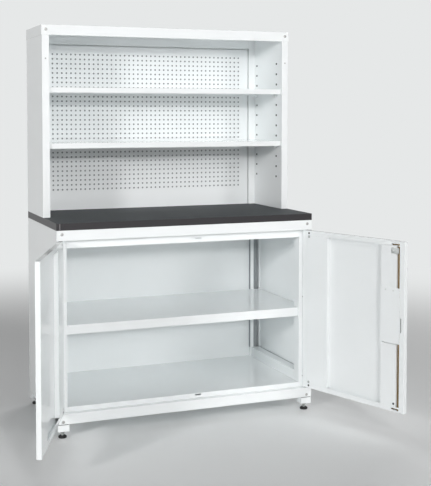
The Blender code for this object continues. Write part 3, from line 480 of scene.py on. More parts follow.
class Workshop:
    """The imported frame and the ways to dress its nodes, or to stand a finer piece in for one."""

    flat_deg: float = 1.0
    fold_deg: float = 60.0
    fold_breadth: float = 0.003
    fold_segments: int = 3

    def __init__(self, frame: dict[str, Any]) -> None:
        """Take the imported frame.
        """
        self.nodes: dict[str, bpy.types.Object] = frame["nodes"]
        bodies = frame["record"]["behaviour"]["bodies"]
        self.body_of: dict[str, str] = {node: body for body in bodies for node in bodies[body]}
        self.made: dict[str, bpy.types.Material] = {}

    def material(self, finish: Finish) -> bpy.types.Material:
        """Give a finish's material, made at its first use.

        Args:
            finish: The finish.

        Returns:
            Its material.
        """
        if finish.name not in self.made:
            self.made[finish.name] = finish.material()
        return self.made[finish.name]

    def dress(self, finish: Finish, *names: str) -> None:
        """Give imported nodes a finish.

        Args:
            finish: The finish.
            names: The nodes.
        """
        for name in names:
            slots = self.nodes[name].data.materials
            slots.clear()
            slots.append(self.material(finish))
            LOG.info("dressed %s in %s", name, finish.name)

    def add(
        self,
        shape: Shape,
        name: str,
        body: str,
        finish: Finish,
        stands_for: Iterable[str] = (),
        smooth_deg: float = 0.0,
    ) -> None:
        """Make a finished piece from a shape that is already in place.

        Args:
            shape: The shape, which is freed.
            name: Name of the piece.
            body: Body that it rides on.
            finish: Its finish.
            stands_for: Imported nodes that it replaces.
            smooth_deg: Edges flatter than this are shaded smooth.
        """
        mesh = bpy.data.meshes.new(name)
        shape.to_mesh(mesh)
        shape.free()
        if smooth_deg:
            mesh.shade_smooth()
            mesh.set_sharp_from_angle(angle=math.radians(smooth_deg))
        mesh.materials.append(self.material(finish))
        piece = bpy.data.objects.new(name, mesh)
        bpy.context.scene.collection.objects.link(piece)
        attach(piece, body)
        if stands_for:
            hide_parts(*stands_for)
        LOG.info("added %s on %s, %d faces", name, body, len(mesh.polygons))

    def add_pair(self, name: str, spans: Spans, finish: Finish) -> None:
        """Add a slab on the cabinet's left and its mirror image on the right.

        Args:
            name: Name of the slabs, without their side.
            spans: Reach of the left one.
            finish: Their finish.
        """
        across, depth, height = spans
        mirrored = (WIDTH - across[1], WIDTH - across[0])
        self.add(slab(spans), "left_" + name, "cabinet", finish)
        self.add(slab((mirrored, depth, height)), "right_" + name, "cabinet", finish)

    def is_fold(self, edge: bmesh.types.BMEdge) -> bool:
        """Tell whether an edge is an outer fold between two broad faces, and not a sheet's cut edge.

        Args:
            edge: The edge.

        Returns:
            True for a fold.
        """
        if len(edge.link_faces) != 2 or not edge.is_convex:
            return False
        if edge.calc_face_angle(0.0) < math.radians(self.fold_deg):
            return False
        for face in edge.link_faces:
            outline = sum(side.calc_length() for side in face.edges)
            if 2 * face.calc_area() / outline < self.fold_breadth:
                return False
        return True

    def copied(self, name: str) -> Shape:
        """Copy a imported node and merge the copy's loose triangles.

        Args:
            name: The node.

        Returns:
            The copy.
        """
        shape = bmesh.new()
        shape.from_mesh(self.nodes[name].data)
        bmesh.ops.remove_doubles(shape, verts=shape.verts, dist=MERGE)
        return shape

    def rolled(self, name: str, radius: float) -> Shape:
        """Copy a packed sheet node and roll the copy's outer folds.

        Args:
            name: The node.
            radius: Outer radius of the folds.

        Returns:
            The copy.
        """
        shape = self.copied(name)
        flat = math.radians(self.flat_deg)
        bmesh.ops.dissolve_limit(shape, angle_limit=flat, verts=shape.verts, edges=shape.edges)
        folds = [edge for edge in shape.edges if self.is_fold(edge)]
        rounded(shape, folds, radius, self.fold_segments, False)
        return shape

    def stand_in(self, shape: Shape, name: str, finish: Finish) -> None:
        """Stand a worked copy, which is freed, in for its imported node."""
        self.add(shape, name + "_worked", self.body_of[name], finish, [name])

    def roll_folds(self, finish: Finish, radius: float, *names: str) -> None:
        """Stand copies with outer folds rolled to a radius in for packed sheet nodes."""
        for name in names:
            self.stand_in(self.rolled(name, radius), name, finish)


@dataclass(frozen=True)
class Screw:
    """A pan-head screw with a round socket."""

    radius: float
    height: float
    sides: int = 14
    sunk: float = 0.0002
    # Shares of the radius and of the height, from the rim to the socket's floor
    shares: Profile = ((1.0, 0.35), (0.86, 0.80), (0.56, 1.0), (0.48, 0.35), (0.0, 0.30))

    def profile(self) -> list[Span]:
        """Give the head's (radius, height) points from its foot to the socket's floor."""
        head = [(wide * self.radius, high * self.height) for wide, high in self.shares]
        return [(0.0, -self.sunk), (self.radius, -self.sunk)] + head

    def add_to(self, shape: Shape, place: Vector, outward: Vector) -> None:
        """Add one head to a shape, on the surface at a place and facing outward."""
        spun(shape, self.profile(), self.sides, facing(place, outward))


@dataclass(frozen=True)
class ScrewRows:
    """Like screws near both ends of the stand's front: inset from each end, depth and heights."""

    screw: Screw
    inset: float
    depth: float
    heights: Row

    def add_to(self, shape: Shape) -> None:
        """Add all heads to a shape."""
        for x in (self.inset, WIDTH - self.inset):
            for z in self.heights:
                self.screw.add_to(shape, CORNER + Vector((x, self.depth, z)), FRONT)


@dataclass
class SubAssembly:
    """What each sub-assembly has: the workshop that builds it, and the radius of its folds."""

    shop: Workshop
    fold: float = 0.0012

    def add_screws(self, name: str, *rows: ScrewRows) -> None:
        """Add rows of screws on the cabinet as one piece.

        Args:
            name: Name of the piece.
            rows: The rows.
        """
        shape = bmesh.new()
        for row in rows:
            row.add_to(shape)
        self.shop.add(shape, name, "cabinet", SCREW_NICKEL, smooth_deg=SMOOTH_DEG)


@dataclass
class Worktop(SubAssembly):
    """The worktop: laminate board and the banding round it."""

    underside: Spans = ((0.052, 1.148), (0.062, 0.566), (0.8890, 0.8896))
    joint_in: float = 0.015
    joint_sunk: float = 0.0002
    joint_size: Point = (0.0020, 0.0270, 0.0004)
    joint_middle: float = 0.905
    joint_corner: float = 0.0005
    joint_rim: float = 0.0001

    def build(self) -> None:
        """Dress the board, round the banding's edges, and add the banding's joint and the underside."""
        shop = self.shop
        shop.dress(SLATE_TOP, "worktop_board")
        shop.roll_folds(BLACK_BAND, self.fold, "worktop_edging")
        middle = CORNER + Vector((self.joint_in, self.joint_sunk, self.joint_middle))
        place = Matrix.Translation(middle) @ Matrix.Rotation(math.pi / 2, 4, "X")
        joint = plate(Vector(self.joint_size), self.joint_corner, self.joint_rim, place)
        shop.add(joint, "banding_joint", "cabinet", BAND_JOINT)
        shop.add(slab(self.underside), "worktop_underside", "cabinet", WHITE_COAT)


@dataclass
class Carcass(SubAssembly):
    """The cabinet without doors and feet."""

    front_screws: ScrewRows = ScrewRows(Screw(0.0068, 0.0022), 0.024, 0.0, (0.873, 0.073))
    post_screws: ScrewRows = ScrewRows(Screw(0.0036, 0.0014), 0.030, 0.030128, (0.156, 0.529))
    channel_lip: Spans = ((0.0018, 0.0095), (0.5780, 0.5792), (0.1736, 0.8440))
    # Grey slabs of painted shade: the shadowed recess in the rear upright's channel, the shadow line along
    # the floor rail's top, and the upright's shaded side
    channel_shade_strip: Spans = ((0.0100, 0.0376), (0.5900, 0.5904), (0.1736, 0.8440))
    rail_shade_line: Spans = ((0.0017, 0.0050), (0.0820, 0.5770), (0.1731, 0.1737))
    upright_shade_line: Spans = ((0.0560, 0.0564), (0.5795, 0.5975), (0.1736, 0.8440))
    plain: Names = ("cabinet_left_side", "cabinet_right_side", "cabinet_back", "rear_plinth")
    folded: Names = (
        "front_left_post", "front_right_post", "rear_left_upright", "rear_right_upright",
        "front_apron", "door_stop_rail", "front_plinth", "rear_top_rail",
        "cabinet_floor", "floor_left_rail", "floor_right_rail", "cabinet_shelf",
    )

    def build(self) -> None:
        """Dress the sheets, roll their folds, and add the screws, the lips and the grey strips of painted
        shade.
        """
        shop = self.shop
        shop.dress(WHITE_COAT, *self.plain)
        shop.roll_folds(WHITE_COAT, self.fold, *self.folded)
        for side in Side:
            for end in End:
                shop.dress(BRIGHT_ZINC, f"shelf_clip_{side.value}_{end.value}")
        self.add_screws("carcass_screws", self.front_screws, self.post_screws)
        shop.add_pair("channel_lip", self.channel_lip, WHITE_COAT)
        # Painted shade: grey strips where the corners, the rail's top and the upright's side lie in shade
        shop.add_pair("channel_shade_strip", self.channel_shade_strip, SHADE_GREY)
        shop.add_pair("floor_rail_shade_line", self.rail_shade_line, SHADE_GREY)
        shop.add_pair("upright_shade_line", self.upright_shade_line, SHADE_GREY)


@dataclass
class Feet(SubAssembly):
    """The four levelling feet: blocks, threaded studs with lock nuts, and rubber pads."""

    left_x: float = -0.566805
    right_x: float = 0.582195
    front_y: float = -0.005259
    rear_y: float = 0.543741
    # The block's lower edge, with its roll, lies below the first height, and its top over the second
    block_edge: float = 0.0295
    block_top: float = 0.0612
    block_raise: float = 0.0030
    block_high: float = 0.0617
    # The block's top is lowered by this much, and a black slab of this thickness and half width fills the
    # gap: painted shade of the line between plinth and block
    shade_slab_thick: float = 0.0026
    shade_slab_half: float = 0.0225
    stud_low: float = 0.006
    stud_high: float = 0.052
    thread_radius: float = 0.0060
    thread_core: float = 0.0052
    thread_pitch: float = 0.00175
    # Shares of the pitch where a thread leaves the core and where it is widest
    thread_rise: Span = (0.1, 0.5)
    nut_low: float = 0.0217
    nut_high: float = 0.0277
    nut_radius: float = 0.0105
    nut_sides: int = 6
    nut_round: float = 0.0008
    nut_steps: int = 2
    # Edges that rise less than this are level
    level: float = 0.0001
    pad_profile: Profile = (
        (0.0, 0.0), (0.0164, 0.0), (0.0178, 0.0012), (0.0178, 0.0034), (0.0170, 0.0042),
        (0.0170, 0.0050), (0.0177, 0.0058), (0.0175, 0.0072), (0.0136, 0.0104), (0.0120, 0.0110),
        (0.0063, 0.0110), (0.0063, 0.0062), (0.0, 0.0062),
    )
    pad_smooth_deg: float = 50.0
    sides: int = 28

    def build(self) -> None:
        """Build all four feet."""
        for side, x in ((Side.LEFT, self.left_x), (Side.RIGHT, self.right_x)):
            for end, y in ((End.FRONT, self.front_y), (End.REAR, self.rear_y)):
                name = f"{side.value}_{end.value}"
                place = Vector((x, y, 0.0))
                self.add_block(name, place)
                self.add_pad_and_stud(name, Matrix.Translation(place))

    def add_block(self, name: str, place: Vector) -> None:
        """Stand in a foot's block, shorter at both ends, and add a black slab over it as painted shade.

        Args:
            name: Which corner.
            place: Point of the floor under the stud.
        """
        block = self.shop.rolled("foot_block_" + name, self.fold)
        for vert in block.verts:
            if vert.co.z > self.block_top:
                vert.co.z -= self.shade_slab_thick
            elif vert.co.z < self.block_edge:
                vert.co.z += self.block_raise
        self.shop.stand_in(block, "foot_block_" + name, WHITE_COAT)
        middle = place - CORNER
        half = self.shade_slab_half
        spans = (
            (middle.x - half, middle.x + half),
            (middle.y - half, middle.y + half),
            (self.block_high - self.shade_slab_thick, self.block_high),
        )
        # Painted shade: the black slab stands for the shadow line between plinth and block
        self.shop.add(slab(spans), "foot_shade_slab_" + name, "cabinet", BLACK_NYLON_AND_SHADE)

    def add_pad_and_stud(self, name: str, where: Matrix) -> None:
        """Add a foot's ribbed pad and its threaded stud with the lock nut.

        Args:
            name: Which corner.
            where: Place of the floor under the stud.
        """
        body = "foot_" + name
        pad = bmesh.new()
        spun(pad, self.pad_profile, self.sides, where)
        pad_node = "foot_pad_" + name
        self.shop.add(pad, "ribbed_pad_" + name, body, BLACK_RUBBER, [pad_node], self.pad_smooth_deg)
        stud = bmesh.new()
        spun(stud, self.thread(), self.sides // 2, where)
        middle = (self.nut_low + self.nut_high) / 2
        nut = bmesh.ops.create_cone(
            stud,
            cap_ends=True,
            cap_tris=False,
            segments=self.nut_sides,
            radius1=self.nut_radius,
            radius2=self.nut_radius,
            depth=self.nut_high - self.nut_low,
            matrix=where @ Matrix.Translation((0.0, 0.0, middle)),
        )
        edges = {edge for vert in nut["verts"] for edge in vert.link_edges}
        rims = [edge for edge in edges if abs(edge.verts[0].co.z - edge.verts[1].co.z) < self.level]
        rounded(stud, rims, self.nut_round, self.nut_steps)
        self.shop.add(stud, "threaded_stud_" + name, body, BRIGHT_ZINC, ["foot_stud_" + name], SMOOTH_DEG)

    def thread(self) -> list[Span]:
        """Give the stud's profile with its thread.

        Returns:
            (radius, height) points from the bottom to the top.
        """
        leave, widest = self.thread_rise
        points = [(0.0, self.stud_low), (self.thread_core, self.stud_low)]
        for turn in range(int((self.stud_high - self.stud_low) / self.thread_pitch)):
            height = self.stud_low + turn * self.thread_pitch
            points.append((self.thread_core, height + leave * self.thread_pitch))
            points.append((self.thread_radius, height + widest * self.thread_pitch))
        return points + [(self.thread_core, self.stud_high), (0.0, self.stud_high)]


@dataclass(kw_only=True)
class Door(SubAssembly):
    """What both doors share: pivot, opening at rest and sizes about the pivot when closed."""

    side: Side
    pivot: Vector
    open_deg: float
    fold: float = 0.0009
    half_thick: float = 0.010
    low: float = 0.108
    high: float = 0.843
    end_gap: float = 0.002
    hinge_along: float = 0.024
    # The hinge channel's folds beyond the first distance from the pivot move out by the second
    hinge_channel_middle: float = 0.065
    hinge_channel_wider: float = 0.018
    hole_in: float = 0.012
    screw_in: float = 0.028
    screw: Screw = Screw(0.0036, 0.0014)
    hinge_screw: Screw = Screw(0.0062, 0.0020, 20)
    hole_plug: Screw = Screw(0.0050, 0.0008, 20)
    washer_radius: float = 0.0088
    washer_bore: float = 0.0072
    washer_half: float = 0.0008
    washer_sides: int = 24

    def place(self, along: float, inward: float, height: float) -> Vector:
        """Give the place of a door point as the door stands.

        Args:
            along: Distance from the pivot towards the free edge.
            inward: Distance from the door's middle plane towards its inner face.
            height: Height over the floor.

        Returns:
            The point in the frame of the solids.
        """
        sign = 1.0 if self.side is Side.LEFT else -1.0
        turn = Matrix.Rotation(-sign * math.radians(self.open_deg), 3, "Z")
        return self.pivot + turn @ Vector((sign * along, inward, height))

    def inner_normal(self) -> Vector:
        """Give the direction that the inner face looks in."""
        return (self.place(0.0, 1.0, 0.0) - self.place(0.0, 0.0, 0.0)).normalized()

    def build(self) -> None:
        """Roll the folds of pan and hinge channel, and add the hinges' screws, plugs and washers."""
        name = f"{self.side.value}_door"
        self.shop.roll_folds(WHITE_COAT, self.fold, name + "_pan")
        channel = self.shop.rolled(name + "_hinge_channel", self.fold)
        self.shift(channel, (self.hinge_channel_middle, math.inf), self.hinge_channel_wider)
        self.shop.stand_in(channel, name + "_hinge_channel", WHITE_COAT)
        screws = bmesh.new()
        plugs = bmesh.new()
        normal = self.inner_normal()
        for end, way in ((self.low, 1.0), (self.high, -1.0)):
            place = self.place(self.hinge_along, self.half_thick, end + way * self.screw_in)
            self.hinge_screw.add_to(screws, place, normal)
            place = self.place(self.hinge_along, self.half_thick, end + way * self.hole_in)
            self.hole_plug.add_to(plugs, place, normal)
            self.add_washer(plugs, end - way * self.end_gap / 2)
        self.shop.add(screws, name + "_hinge_screws", name, BRIGHT_ZINC, smooth_deg=SMOOTH_DEG)
        self.shop.add(plugs, name + "_hinge_plugs", name, BLACK_NYLON_AND_SHADE, smooth_deg=SMOOTH_DEG)

    def shift(self, shape: Shape, span: Span, by: float) -> None:
        """Shift the part of a piece that lies in a span of distances from the pivot, along the door.

        Args:
            shape: The piece.
            span: Nearest and farthest distance.
            by: How far it goes towards the free edge.
        """
        way = (self.place(1.0, 0.0, 0.0) - self.place(0.0, 0.0, 0.0)).normalized()
        for vert in shape.verts:
            if span[0] < (vert.co - self.pivot).dot(way) < span[1]:
                vert.co += by * way

    def add_washer(self, shape: Shape, middle: float) -> None:
        """Add a hinge washer round the pivot, in the gap between door and carcass.

        Args:
            shape: The shape.
            middle: Height of the gap's middle.
        """
        bore, radius, half = (self.washer_bore, self.washer_radius, self.washer_half)
        ring = [(bore, -half), (radius, -half), (radius, half), (bore, half), (bore, -half)]
        spun(shape, ring, self.washer_sides, Matrix.Translation(self.place(0.0, 0.0, middle)))


@dataclass
class LeftDoor(Door):
    """The left door, plain inside."""

    def build(self) -> None:
        """Build the left door."""
        super().build()
        self.shop.roll_folds(WHITE_COAT, self.fold, "left_door_free_channel")


@dataclass
class RightDoor(Door):
    """The right door with its lock, latch bar and handle."""

    cover_face: float = 0.0115
    # The lock channel's near edge lies in this span from the pivot, and moves out by the next value
    lock_edge: Span = (0.420, 0.460)
    lock_narrower: float = 0.016
    cover_screw_along: Row = (0.478, 0.520)
    cover_screw_z: float = 0.630
    cover_low: float = 0.402
    joint: float = 0.0030
    guide_face: float = 0.0101
    guide_thick: float = 0.0016
    guide_corner: float = 0.003
    guide_rim: float = 0.0006
    guide_screw_in: float = 0.009
    guide: tuple[Span, Span] = ((0.508, 0.5475), (0.788, 0.814))
    lower_plug: Span = (0.524, 0.142)
    spindle_along: float = 0.5127
    spindle_z: float = 0.548
    cylinder_z: float = 0.488
    plate_face: float = 0.0153
    plate_size: Point = (0.036, 0.150, 0.005)
    plate_corner: float = 0.008
    plate_rim: float = 0.0012
    plate_middle_z: float = 0.522
    lever_out: float = 0.0336
    lever_long: float = 0.105
    lever_wide: float = 0.018
    lever_thick: float = 0.011
    lever_taper: float = 0.82
    lever_round: float = 0.0048
    lever_steps: int = 5
    neck_gap: float = 0.0003
    # Radius and height of the neck's foot, and of its waist
    neck_foot: Span = (0.0110, 0.0020)
    neck_waist: Span = (0.0092, 0.0040)
    neck_radius: float = 0.0082
    neck_sunk: float = 0.004
    ring_profile: Profile = (
        (0.0089, 0.0), (0.0128, 0.0), (0.0126, 0.0010), (0.0112, 0.0018),
        (0.0094, 0.0018), (0.0089, 0.0012), (0.0089, 0.0),
    )
    sides: int = 32

    def build(self) -> None:
        """Build the right door."""
        super().build()
        shop = self.shop
        channel = shop.rolled("right_door_lock_channel", self.fold)
        self.part_channel(channel)
        self.shift(channel, self.lock_edge, self.lock_narrower)
        shop.stand_in(channel, "right_door_lock_channel", WHITE_COAT)
        cover = shop.copied("lock_cover")
        self.shift(cover, self.lock_edge, self.lock_narrower)
        shop.stand_in(cover, "lock_cover", WHITE_COAT)
        shop.dress(BRIGHT_ZINC, "lock_case")
        shop.dress(YELLOW_ZINC, "latch_bar")
        shop.dress(SATIN_CHROME, "lock_cylinder")
        shape = bmesh.new()
        for along in self.cover_screw_along:
            place = self.place(along, self.cover_face, self.cover_screw_z)
            self.screw.add_to(shape, place, self.inner_normal())
        shop.add(shape, "lock_cover_screws", "right_door", GUIDE_ZINC, smooth_deg=SMOOTH_DEG)
        self.add_guide()
        self.add_plate()
        self.add_lever()

    def part_channel(self, shape: Shape) -> None:
        """Part the lock channel under the lock cover, where its two lengths meet.

        Args:
            shape: The channel.
        """
        low = self.cover_low - self.joint
        for level in (low, self.cover_low):
            bmesh.ops.bisect_plane(shape, geom=everything(shape), plane_co=(0.0, 0.0, level), plane_no=UP)
        between = [face for face in shape.faces if low < face.calc_center_median().z < self.cover_low]
        bmesh.ops.delete(shape, geom=between, context="FACES")
        bmesh.ops.holes_fill(shape, edges=[edge for edge in shape.edges if edge.is_boundary])
        bmesh.ops.recalc_face_normals(shape, faces=shape.faces)

    def add_guide(self) -> None:
        """Add the plate that keeps the latch bar in its slit, and the plug at the slit's lower end."""
        normal = self.inner_normal()
        (near, far), (low, high) = self.guide
        size = Vector((far - near, high - low, self.guide_thick))
        middle = (low + high) / 2
        place = upright_frame(self.place((near + far) / 2, self.guide_face, middle), normal)
        shape = plate(size, self.guide_corner, self.guide_rim, place)
        face = self.guide_face + self.guide_thick
        self.screw.add_to(shape, self.place(near + self.guide_screw_in, face, middle), normal)
        self.shop.add(shape, "latch_bar_guide", "right_door", GUIDE_ZINC, smooth_deg=SMOOTH_DEG)
        plug = bmesh.new()
        along, height = self.lower_plug
        self.hole_plug.add_to(plug, self.place(along, self.half_thick, height), normal)
        self.shop.add(plug, "lock_channel_plug", "right_door", BLACK_NYLON_AND_SHADE, smooth_deg=SMOOTH_DEG)

    def handle_frame(self, height: float, out: float = 0.0) -> Matrix:
        """Give the frame at the spindle's line: X towards the hinges, Y up and Z out of the door."""
        return upright_frame(self.place(self.spindle_along, -out, height), -self.inner_normal())

    def add_plate(self) -> None:
        """Add the rounded backplate and the ring round the lock cylinder."""
        size = Vector(self.plate_size)
        place = self.handle_frame(self.plate_middle_z, self.plate_face - size.z)
        shape = plate(size, self.plate_corner, self.plate_rim, place)
        spun(shape, self.ring_profile, self.sides, self.handle_frame(self.cylinder_z, self.plate_face))
        nodes = ["handle_backplate"]
        self.shop.add(shape, "rounded_backplate", "right_door", SATIN_CHROME, nodes, SMOOTH_DEG)

    def add_lever(self) -> None:
        """Add the lever: a turned neck and a rounded, slightly tapered arm."""
        frame = self.handle_frame(self.spindle_z)
        shape = bmesh.new()
        bmesh.ops.create_cube(shape, size=1.0)
        size = Matrix.Diagonal((self.lever_long, self.lever_wide, self.lever_thick, 1.0))
        reach = (self.lever_long - self.lever_wide) / 2
        middle = Matrix.Translation((reach, 0.0, self.lever_out - self.lever_thick / 2))
        bmesh.ops.transform(shape, matrix=middle @ size, verts=shape.verts)
        for vert in shape.verts:
            if vert.co.x > reach:
                vert.co.y *= self.lever_taper
        rounded(shape, shape.edges, self.lever_round, self.lever_steps)
        bmesh.ops.transform(shape, matrix=frame, verts=shape.verts)
        low = self.plate_face + self.neck_gap
        high = self.lever_out - self.neck_sunk
        foot, foot_high = self.neck_foot
        waist, waist_high = self.neck_waist
        neck = [(0.0, low), (foot, low), (foot, low + foot_high), (waist, low + waist_high)]
        neck.append((self.neck_radius, self.lever_out - self.lever_thick))
        neck += [(self.neck_radius, high), (0.0, high)]
        spun(shape, neck, self.sides, frame)
        self.shop.add(shape, "rounded_lever", "handle_lever", SATIN_CHROME, ["handle_lever"], SMOOTH_DEG)


@dataclass
class Pegboard(SubAssembly):
    """The pegboard with its full grid of round holes."""

    left: float = 0.0690
    right: float = 1.1310
    low: float = 0.9203
    high: float = 1.7070
    face: float = 0.590
    thick: float = 0.0012
    pitch: float = 0.0223
    hole: float = 0.0088
    columns: int = 44
    rows: int = 30
    first_z: float = 1.018
    sides: int = 12
    # Points as near as this to the grid's edge lie on it
    near: float = 0.0002

    def build(self) -> None:
        """Build the pegboard."""
        shape = bmesh.new()
        self.add_cell(shape)
        self.tile(shape, Vector((self.pitch, 0.0, 0.0)), self.columns)
        self.tile(shape, Vector((0.0, 0.0, self.pitch)), self.rows)
        bmesh.ops.remove_doubles(shape, verts=shape.verts, dist=MERGE)
        self.add_border(shape)
        bmesh.ops.recalc_face_normals(shape, faces=shape.faces)
        made = bmesh.ops.extrude_face_region(shape, geom=list(shape.faces))
        bmesh.ops.translate(shape, vec=(0.0, self.thick, 0.0), verts=new_verts(made))
        bmesh.ops.recalc_face_normals(shape, faces=shape.faces)
        bmesh.ops.translate(shape, vec=CORNER, verts=shape.verts)
        self.shop.add(shape, "round_hole_pegboard", "cabinet", WHITE_COAT, ["pegboard"])

    def add_cell(self, shape: Shape) -> None:
        """Add the first cell: a square of sheet round one hole.

        Args:
            shape: The shape.
        """
        first_x = (self.left + self.right - self.pitch * (self.columns - 1)) / 2
        start = Matrix.Rotation(math.pi / self.sides, 4, "Z")
        place = Matrix.Rotation(math.pi / 2, 4, "X") @ start
        radius = self.hole / 2
        bmesh.ops.create_circle(shape, cap_ends=False, segments=self.sides, radius=radius, matrix=place)
        made = bmesh.ops.extrude_edge_only(shape, edges=list(shape.edges))
        for vert in new_verts(made):
            vert.co *= self.pitch / 2 / max(abs(vert.co.x), abs(vert.co.z))
        bmesh.ops.translate(shape, vec=(first_x, self.face, self.first_z), verts=shape.verts)

    def tile(self, shape: Shape, step: Vector, count: int) -> None:
        """Repeat all that is there in a line.

        Args:
            shape: The shape.
            step: Distance from one to the next.
            count: How many there are in the end.
        """
        first = everything(shape)
        for number in range(1, count):
            made = bmesh.ops.duplicate(shape, geom=first)
            bmesh.ops.translate(shape, vec=step * number, verts=new_verts(made))

    def add_border(self, shape: Shape) -> None:
        """Draw the grid's outer edge out to the board's outline.

        Args:
            shape: The shape.
        """
        across = [vert.co.x for vert in shape.verts]
        upright = [vert.co.z for vert in shape.verts]
        # Number of the axis, place of the grid's edge, and place of the outline
        moves = (
            (0, min(across), self.left),
            (0, max(across), self.right),
            (2, min(upright), self.low),
            (2, max(upright), self.high),
        )
        outer = []
        for edge in shape.edges:
            ends = [vert.co for vert in edge.verts]
            if any(all(abs(end[axis] - at) < self.near for end in ends) for axis, at, _ in moves):
                outer.append(edge)
        made = bmesh.ops.extrude_edge_only(shape, edges=outer)
        for vert in new_verts(made):
            for axis, at, outline in moves:
                if abs(vert.co[axis] - at) < self.near:
                    vert.co[axis] = outline


@dataclass
class UpperUnit(SubAssembly):
    """The open shelf unit on the worktop."""

    fascia_screws: ScrewRows = ScrewRows(Screw(0.0068, 0.0022), 0.018, 0.2582, (1.7540,))
    side_screws: ScrewRows = ScrewRows(Screw(0.0034, 0.0012), 0.016, 0.260, (1.626,))
    # The rear rail's points below the first height are raised by the second
    rail_middle: float = 1.703
    rail_raise: float = 0.0140
    hole_first: float = 1.069
    hole_pitch: float = 0.050
    hole_columns: Row = (0.324, 0.557)
    shelf_rows: tuple[int, ...] = (3, 8)
    # In depth and in height: reach that takes in one hole's points, and how far they are stretched
    hole_near: Span = (0.0030, 0.0055)
    hole_stretch: Span = (3.4, 0.85)
    hole_lift: float = 0.006
    # Sheets of painted shade: a grey one behind the pegboard that darkens its holes where they lie in
    # shade, and black ones behind the linings' holes
    peg_shade_sheet: Spans = ((0.068, 1.132), (0.5974, 0.5978), (0.936, 1.692))
    side_shade_sheet: Spans = ((0.0297, 0.0301), (0.264, 0.596), (0.930, 1.760))
    folded: Names = (
        "upper_left_side", "upper_right_side", "upper_left_rear_post", "upper_right_rear_post",
        "upper_top", "upper_shelf_low", "upper_shelf_high",
    )

    def build(self) -> None:
        """Build the upper unit, with the grey and black sheets of painted shade that show through its
        holes.
        """
        shop = self.shop
        shop.dress(WHITE_COAT, "upper_back_sheet")
        for side in Side:
            self.add_lining(f"upper_{side.value}_lining")
        shop.roll_folds(WHITE_COAT, self.fold, *self.folded)
        rail = shop.rolled("upper_rear_rail", self.fold)
        for vert in rail.verts:
            if vert.co.z < self.rail_middle:
                vert.co.z += self.rail_raise
        shop.stand_in(rail, "upper_rear_rail", WHITE_COAT)
        Pegboard(shop).build()
        self.add_screws("upper_unit_screws", self.fascia_screws, self.side_screws)
        # Painted shade: the grey and black sheets stand for the shaded cavities behind the holes
        shop.add(slab(self.peg_shade_sheet), "pegboard_shade_sheet", "cabinet", SHADE_GREY)
        shop.add_pair("lining_shade_sheet", self.side_shade_sheet, SHADE_BLACK)

    def add_lining(self, name: str) -> None:
        """Stand in a copy of a lining whose free shelf holes are formed and placed as in the photo.

        Args:
            name: The lining.
        """
        shape = self.shop.copied(name)
        for vert in shape.verts:
            point = vert.co - CORNER
            row = round((point.z - self.hole_first) / self.hole_pitch)
            if row in self.shelf_rows:
                continue
            rise = point.z - self.hole_first - row * self.hole_pitch
            for column in self.hole_columns:
                reach = point.y - column
                if abs(reach) < self.hole_near[0] and abs(rise) < self.hole_near[1]:
                    vert.co.y += (self.hole_stretch[0] - 1.0) * reach
                    vert.co.z += (self.hole_stretch[1] - 1.0) * rise + self.hole_lift
        self.shop.stand_in(shape, name, WHITE_COAT)


@dataclass(frozen=True)
class Lamp:
    """One soft lamp."""

    name: str
    place: Point
    size: float
    watts: float
    mirrored: bool = True
    target: Point = (0.0, 0.2, 0.9)

    def hang(self) -> None:
        """Add the lamp to the scene, aimed at its target."""
        data = bpy.data.lights.new(self.name, "AREA")
        data.shape = "SQUARE"
        data.size = self.size
        data.energy = self.watts
        lamp = bpy.data.objects.new(self.name, data)
        lamp.location = self.place
        direction = Vector(self.target) - Vector(self.place)
        lamp.rotation_euler = direction.to_track_quat("-Z", "Y").to_euler()
        lamp.visible_camera = False
        lamp.visible_glossy = self.mirrored
        bpy.context.scene.collection.objects.link(lamp)


